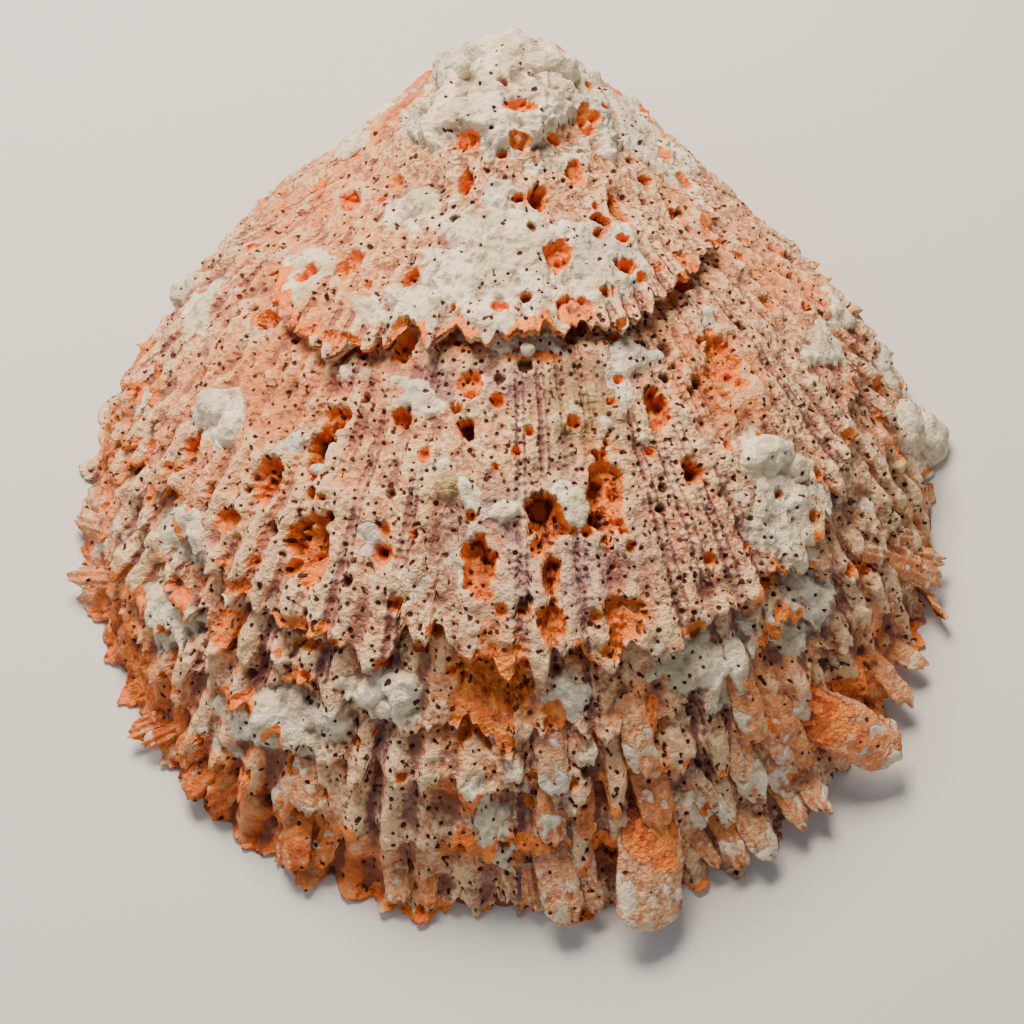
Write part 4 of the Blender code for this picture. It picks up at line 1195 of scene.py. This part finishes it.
# (name, root across and down, tip across and down in pixels, tip above the shell or table, width,
# warmth, white cap, broken open near the root); heights and widths in millimetres.
FRILLS = (
    ("large_front", 648, 815, 647, 930, 4.0, 10.4, 0.34, 0.40, 1.0),
    ("front_second", 554, 852, 569, 926, 3.5, 6.4, 0.26, 0.32, 0.0),
    ("front_thin", 583, 850, 596, 907, 3.5, 3.2, 0.22, 0.16, 0.0),
    ("front_spike", 531, 880, 534, 910, 2.5, 2.4, 0.30, 0.00, 0.0),
    ("middle_knobbed", 552, 800, 552, 843, 3.2, 4.4, 0.41, 0.48, 0.0),
    ("middle_orange", 584, 798, 587, 839, 3.0, 3.0, 0.64, 0.16, 0.0),
    ("channel_tongue", 650, 780, 661, 824, 3.4, 5.6, 0.60, 0.00, 0.0),
    ("right_thin_pink", 700, 836, 718, 866, 3.0, 2.8, 0.41, 0.16, 0.0),
    ("right_orange_tip", 722, 820, 742, 866, 3.2, 3.6, 0.60, 0.24, 0.0),
    ("right_grey", 744, 806, 771, 859, 3.4, 4.8, 0.26, 0.48, 0.0),
    ("corner_outer", 800, 770, 826, 812, 4.0, 4.2, 0.41, 0.40, 0.0),
    ("corner_inner", 780, 782, 805, 826, 3.6, 3.8, 0.52, 0.32, 0.0),
    ("large_right", 812, 706, 896, 756, 4.4, 8.6, 0.56, 0.24, 1.0),
    ("pale_finger", 692, 768, 731, 820, 3.0, 2.6, 0.08, 0.72, 0.0),
    ("capped_tongue", 738, 748, 759, 797, 3.6, 5.2, 0.22, 0.80, 0.0),
    ("capped_inner", 770, 752, 788, 796, 3.2, 4.0, 0.30, 0.64, 0.0),
    ("white_orange", 632, 712, 645, 772, 3.0, 4.6, 0.52, 0.40, 0.0),
    ("white_small", 582, 734, 592, 764, 2.6, 2.8, 0.08, 0.72, 0.0),
    ("white_drip", 551, 744, 557, 794, 2.8, 5.0, 0.15, 0.72, 0.0),
    ("white_drip_left", 508, 752, 512, 782, 2.4, 4.4, 0.11, 0.72, 0.0),
    ("edge_orange", 902, 532, 922, 538, 2.6, 2.6, 0.64, 0.16, 0.0),
    ("edge_upper", 912, 549, 942, 560, 3.0, 3.2, 0.41, 0.24, 0.0),
    ("edge_red", 898, 556, 938, 580, 3.2, 4.0, 0.60, 0.16, 0.0),
    ("edge_hooked", 920, 590, 942, 618, 3.2, 4.4, 0.45, 0.24, 0.0),
    ("edge_pink", 894, 646, 926, 667, 3.0, 3.8, 0.38, 0.24, 0.0),
    ("edge_long", 876, 660, 908, 706, 3.6, 4.6, 0.52, 0.24, 0.0),
    ("edge_orange_low", 852, 664, 883, 700, 3.2, 3.4, 0.95, 0.00, 0.0),
    ("edge_orange_small", 864, 702, 885, 726, 2.6, 2.8, 0.95, 0.00, 0.0),
    ("bulb", 800, 524, 824, 570, 3.4, 5.4, 0.15, 0.40, 0.0),
    ("bulb_left", 776, 530, 774, 562, 2.8, 3.8, 0.22, 0.32, 0.0),
    ("orange_bead", 866, 546, 888, 556, 2.4, 2.8, 0.45, 0.24, 0.0),
    ("pink_double", 778, 706, 807, 766, 3.6, 4.6, 0.49, 0.24, 0.0),
    ("pink_single", 764, 724, 789, 764, 3.2, 3.8, 0.45, 0.32, 0.0),
    ("red_white_tip", 742, 682, 757, 742, 3.4, 5.0, 0.60, 0.40, 0.0),
    ("far_left_spike", 100, 572, 71, 579, 3.0, 3.6, 0.45, 0.16, 0.0),
    ("far_left_upper", 100, 520, 80, 520, 2.2, 3.4, 0.41, 0.24, 0.0),
    ("left_margin_spike", 156, 718, 130, 735, 2.6, 3.2, 0.95, 0.00, 0.0),
    ("left_margin_second", 168, 728, 144, 745, 2.4, 2.8, 0.90, 0.00, 0.0),
    ("left_scale", 196, 736, 180, 760, 2.8, 5.0, 0.95, 0.00, 0.0),
    ("left_scale_low", 206, 764, 186, 797, 3.0, 4.8, 0.95, 0.00, 0.0),
    ("left_low_tip", 234, 780, 210, 806, 2.8, 4.2, 0.95, 0.00, 0.0),
    ("low_orange_tongue", 298, 824, 294, 872, 3.2, 5.4, 0.95, 0.00, 0.0),
    ("low_orange_second", 326, 840, 318, 866, 2.6, 3.4, 0.90, 0.00, 0.0),
    ("pinkish_tongue", 308, 778, 304, 812, 2.8, 5.2, 0.38, 0.24, 0.0),
    ("low_grey", 396, 872, 399, 902, 2.6, 4.2, 0.38, 0.24, 0.0),
    ("low_orange_small", 428, 878, 428, 906, 2.4, 3.4, 0.64, 0.00, 0.0),
)
LANDING = 1.6
LOWEST = 0.3


def landed(point):
    """The points with what would sink into the table pressed flat just above it."""
    height = point[..., 2]
    pressed = LOWEST + (LANDING - LOWEST) * np.exp(np.minimum(height - LANDING, 0.0))
    point[..., 2] = np.where(height < LANDING, pressed, height)
    return point


def grown_piece(name, rings, pore, pore_offset, cavity_shade, **given):
    """Finishes a frill or a lump of closed rings that has the given surface marks and no others."""
    marks = {mark: np.zeros(pore.shape) for mark in ("fresh", "crust", "lilac", "warm", "khaki", "dark")}
    marks.update(given, pore=pore, pore_offset=pore_offset, growth=0.0 * pore_offset)
    finish_piece(ball_from_rings(name, rings, packed_marks(marks, cavity_shade)), eroded_shell)


FRILL_COLUMNS = 40
FRILL_ROWS = 34
FRILL_ROOT = 3.5
FRILL_HALF_TURN = math.radians(66.0)
FRILL_THICKNESS = 0.9
FRILL_FLATTENING = 0.62
FIRST_FRILL_SEED = 200
GROWN_PORE_CHANCE = 0.12

across_steps = np.linspace(-1.0, 1.0, FRILL_COLUMNS // 2)
cross_turn = np.concatenate((across_steps, across_steps[::-1])) * FRILL_HALF_TURN
towards_side = np.abs(cross_turn / FRILL_HALF_TURN) ** 3
is_under = np.repeat((0.0, 1.0), FRILL_COLUMNS // 2)
length_steps = np.linspace(0.0, 1.0, FRILL_ROWS)[:, None]
for number, (name, *pixels, lift, width, warmth, cap, broken) in enumerate(FRILLS):
    root_across, root_down, tip_across, tip_down = pixels
    root, root_normal, _, _ = seen_at(root_across, root_down)
    tip = spot_above(tip_across, tip_down, lift)
    tip[2] = max(tip[2], 0.5 * lift)
    axis = unit(tip - root)
    base = root - axis * FRILL_ROOT
    length = np.linalg.norm(tip - base)
    up = unit(root_normal - axis * (root_normal @ axis))
    side = np.cross(axis, up)
    seed = FIRST_FRILL_SEED + number
    tongue = np.stack((cross_turn, 0.0 * cross_turn, 0.0 * cross_turn + number), -1)
    ragged = 0.14 * towards_side - 0.13 * ripple(tongue, 0.45, seed)
    along = length_steps * (1.0 - ragged * (1.0 - 0.6 * broken))
    past_shoulder = np.clip((length_steps - 0.86) / 0.14, 0.0, 1.0)
    level = 0.0 * length_steps[:, 0]
    waist = ripple(np.stack((length_steps[:, 0] * 2.5, level + number, level), -1), 1.0, seed)[:, None]
    shoulders = (0.94 + 0.08 * waist) * np.sqrt(1.0 - 0.62 * past_shoulder**2.5)
    radius = 0.5 * width / math.sin(FRILL_HALF_TURN) * shoulders
    drop = is_under * FRILL_THICKNESS * (1.0 - 0.35 * length_steps) * (1.0 - 0.5 * towards_side)
    sideways = (radius - drop) * np.sin(cross_turn)
    rise = (radius - drop) * np.cos(cross_turn) - radius * math.cos(FRILL_HALF_TURN)
    curve = 0.05 * length * np.sin(np.pi * length_steps)
    point = base + axis * (along * length)[..., None] + side * sideways[..., None]
    point = point + up * (rise * FRILL_FLATTENING + curve)[..., None]
    outward = unit(side * np.sin(cross_turn)[:, None] + up * np.cos(cross_turn)[:, None])
    outward = np.broadcast_to(outward, point.shape)
    small = rough(point, 2.2, seed, 2)
    lines = np.stack((along * length / BEAD_PITCH, cross_turn + 0.0 * along, 0.0 * along), -1)
    pore_offset, pore = bored_cells(point, outward, PORE_CELL, PORE_RADIUS, GROWN_PORE_CHANCE, PORE_SEED)
    relief = 0.30 * small + 0.16 * ripple(lines, 1.0, seed) + 0.07 * ripple(point, 0.7, seed)
    relief += cap * 0.5 * smooth((along - 0.6) / 0.3) * np.maximum(ripple(point, 2.4, seed + 1), -0.2)
    relief -= PORE_DEPTH * smooth((1.2 - pore) / 0.5)
    relief += 0.14 * np.cos(9.0 * cross_turn + seed) + 0.12 * np.abs(ripple(point, 1.4, seed + 2))
    opening = 0.60 - along - 0.45 * towards_side + 0.14 * small
    opening = broken * (1.0 - is_under) * smooth(opening / 0.16)
    relief = (relief - 0.6 * opening) * np.where(is_under > 0.0, -0.25, 1.0)
    crust = 0.34 + 0.34 * cap * smooth((along - 0.35) / 0.4) + 0.24 * small - is_under - opening
    tip_glow = 0.5 * warmth * smooth((along - 0.8) / 0.2)
    fresh = np.maximum(np.maximum(is_under, opening), tip_glow + 0.3 * small * warmth)
    # Lilac towards the root: painted shade where the frill meets the shell, with a random lilac tint.
    lilac = np.clip(0.75 * (1.0 - warmth) * (1.0 - along) + 0.3 * small, 0.0, 0.7) * (1.0 - opening)
    # Painted shade inside the broken opening, deepest at the root.
    cavity_shade = 3.2 * opening * np.clip(0.62 - along, 0.0, 1.0) / 0.62 - 0.2 * small
    grown_piece("frill_" + name, landed(point + outward * relief[..., None]),
                np.where(is_under > 0.0, FAR, pore), pore_offset, cavity_shade,
                fresh=0.9 * fresh, crust=crust, lilac=lilac, warm=warmth * (0.75 + 0.5 * small))

# Lime lumps
# Rounded knobs of white lime that have grown on the shell. They are cemented to the growth layers.

# (name, pixels across, pixels down, width, length, height over the shell, khaki); millimetres.
LUMPS = (
    ("left_lump", 218, 402, 8.0, 5.4, 3.2, 0.0),
    ("left_lump_tail", 232, 424, 4.6, 6.0, 2.2, 0.0),
    ("right_lump", 762, 452, 10.0, 6.4, 4.0, 0.0),
    ("right_lump_low", 788, 466, 7.4, 5.6, 3.0, 0.0),
    ("left_boss", 190, 289, 6.4, 5.4, 3.2, 0.0),
    ("right_ear", 926, 436, 9.6, 9.0, 4.6, 0.4),
    ("right_ear_tip", 941, 441, 6.0, 6.4, 4.4, 0.4),
    ("right_ear_root", 905, 424, 9.0, 9.0, 3.0, 0.4),
    ("front_knob_left", 371, 686, 4.6, 4.6, 3.0, 0.0),
    ("front_knob_right", 402, 690, 4.0, 4.2, 2.8, 0.0),
    ("front_knob_middle", 387, 700, 3.4, 3.2, 2.4, 0.0),
    ("umbo_knob_left", 462, 58, 12.0, 8.0, 2.8, 0.0),
    ("umbo_knob_middle", 505, 47, 13.0, 8.0, 3.4, 0.0),
    ("umbo_knob_right", 549, 58, 12.0, 7.4, 2.8, 0.0),
    ("upper_right_knob", 650, 124, 9.0, 8.0, 1.5, 0.0),
    ("upper_right_knob_low", 680, 156, 8.0, 9.0, 1.5, 0.0),
    ("upper_left_knob", 354, 138, 9.0, 7.0, 1.3, 0.0),
    ("white_lip", 330, 452, 1.5, 4.6, 1.1, 0.0),
    ("white_lip_low", 321, 463, 3.6, 1.5, 0.9, 0.0),
    ("small_bead", 527, 343, 2.0, 1.8, 1.0, 0.2),
    ("khaki_knob", 446, 479, 4.4, 4.0, 2.0, 1.3),
)
LUMP_COLUMNS = 48
LUMP_RINGS = 28
SUNK_SHARE = 0.4
LUMPINESS = 0.075
LUMP_PORE_DEPTH = 0.3

ring_turn = np.linspace(0.04, math.pi - 0.04, LUMP_RINGS)[:, None]
column_turn = np.linspace(0.0, 2.0 * math.pi, LUMP_COLUMNS, endpoint=False)
ball = np.stack((np.sin(ring_turn) * np.cos(column_turn), np.sin(ring_turn) * np.sin(column_turn),
                 np.cos(ring_turn) + 0.0 * column_turn), -1)
for name, across, down, width, length, height, khaki in LUMPS:
    place, normal, forward, side = seen_at(across, down)
    local = ball * np.array((0.5 * width, 0.5 * length, height))
    local[..., 2] *= np.where(local[..., 2] < 0.0, SUNK_SHARE, 1.0)
    point = place + local[..., :1] * side + local[..., 1:2] * forward + local[..., 2:] * normal
    outward = unit(ball[..., :1] * side + ball[..., 1:2] * forward + ball[..., 2:] * normal)
    lumpy = LUMPINESS * width * rough(point, 4.0, 81, 2)
    lumpy = lumpy + 0.24 * np.abs(ripple(point, 1.6, 82)) + 0.10 * ripple(point, 0.8, 83)
    pore_offset, pore = bored_cells(point, outward, PORE_CELL, PORE_RADIUS, GROWN_PORE_CHANCE, PORE_SEED)
    rings = landed(point + outward * (lumpy - LUMP_PORE_DEPTH * smooth((1.2 - pore) / 0.5))[..., None])
    # The lump's dips carry painted shade, and its knobs wear with a painted highlight.
    grown_piece("lime_" + name, rings, pore, pore_offset, -0.5 * lumpy,
                crust=1.0 - 0.8 * khaki + 0.3 * lumpy, khaki=khaki + 0.0 * pore)
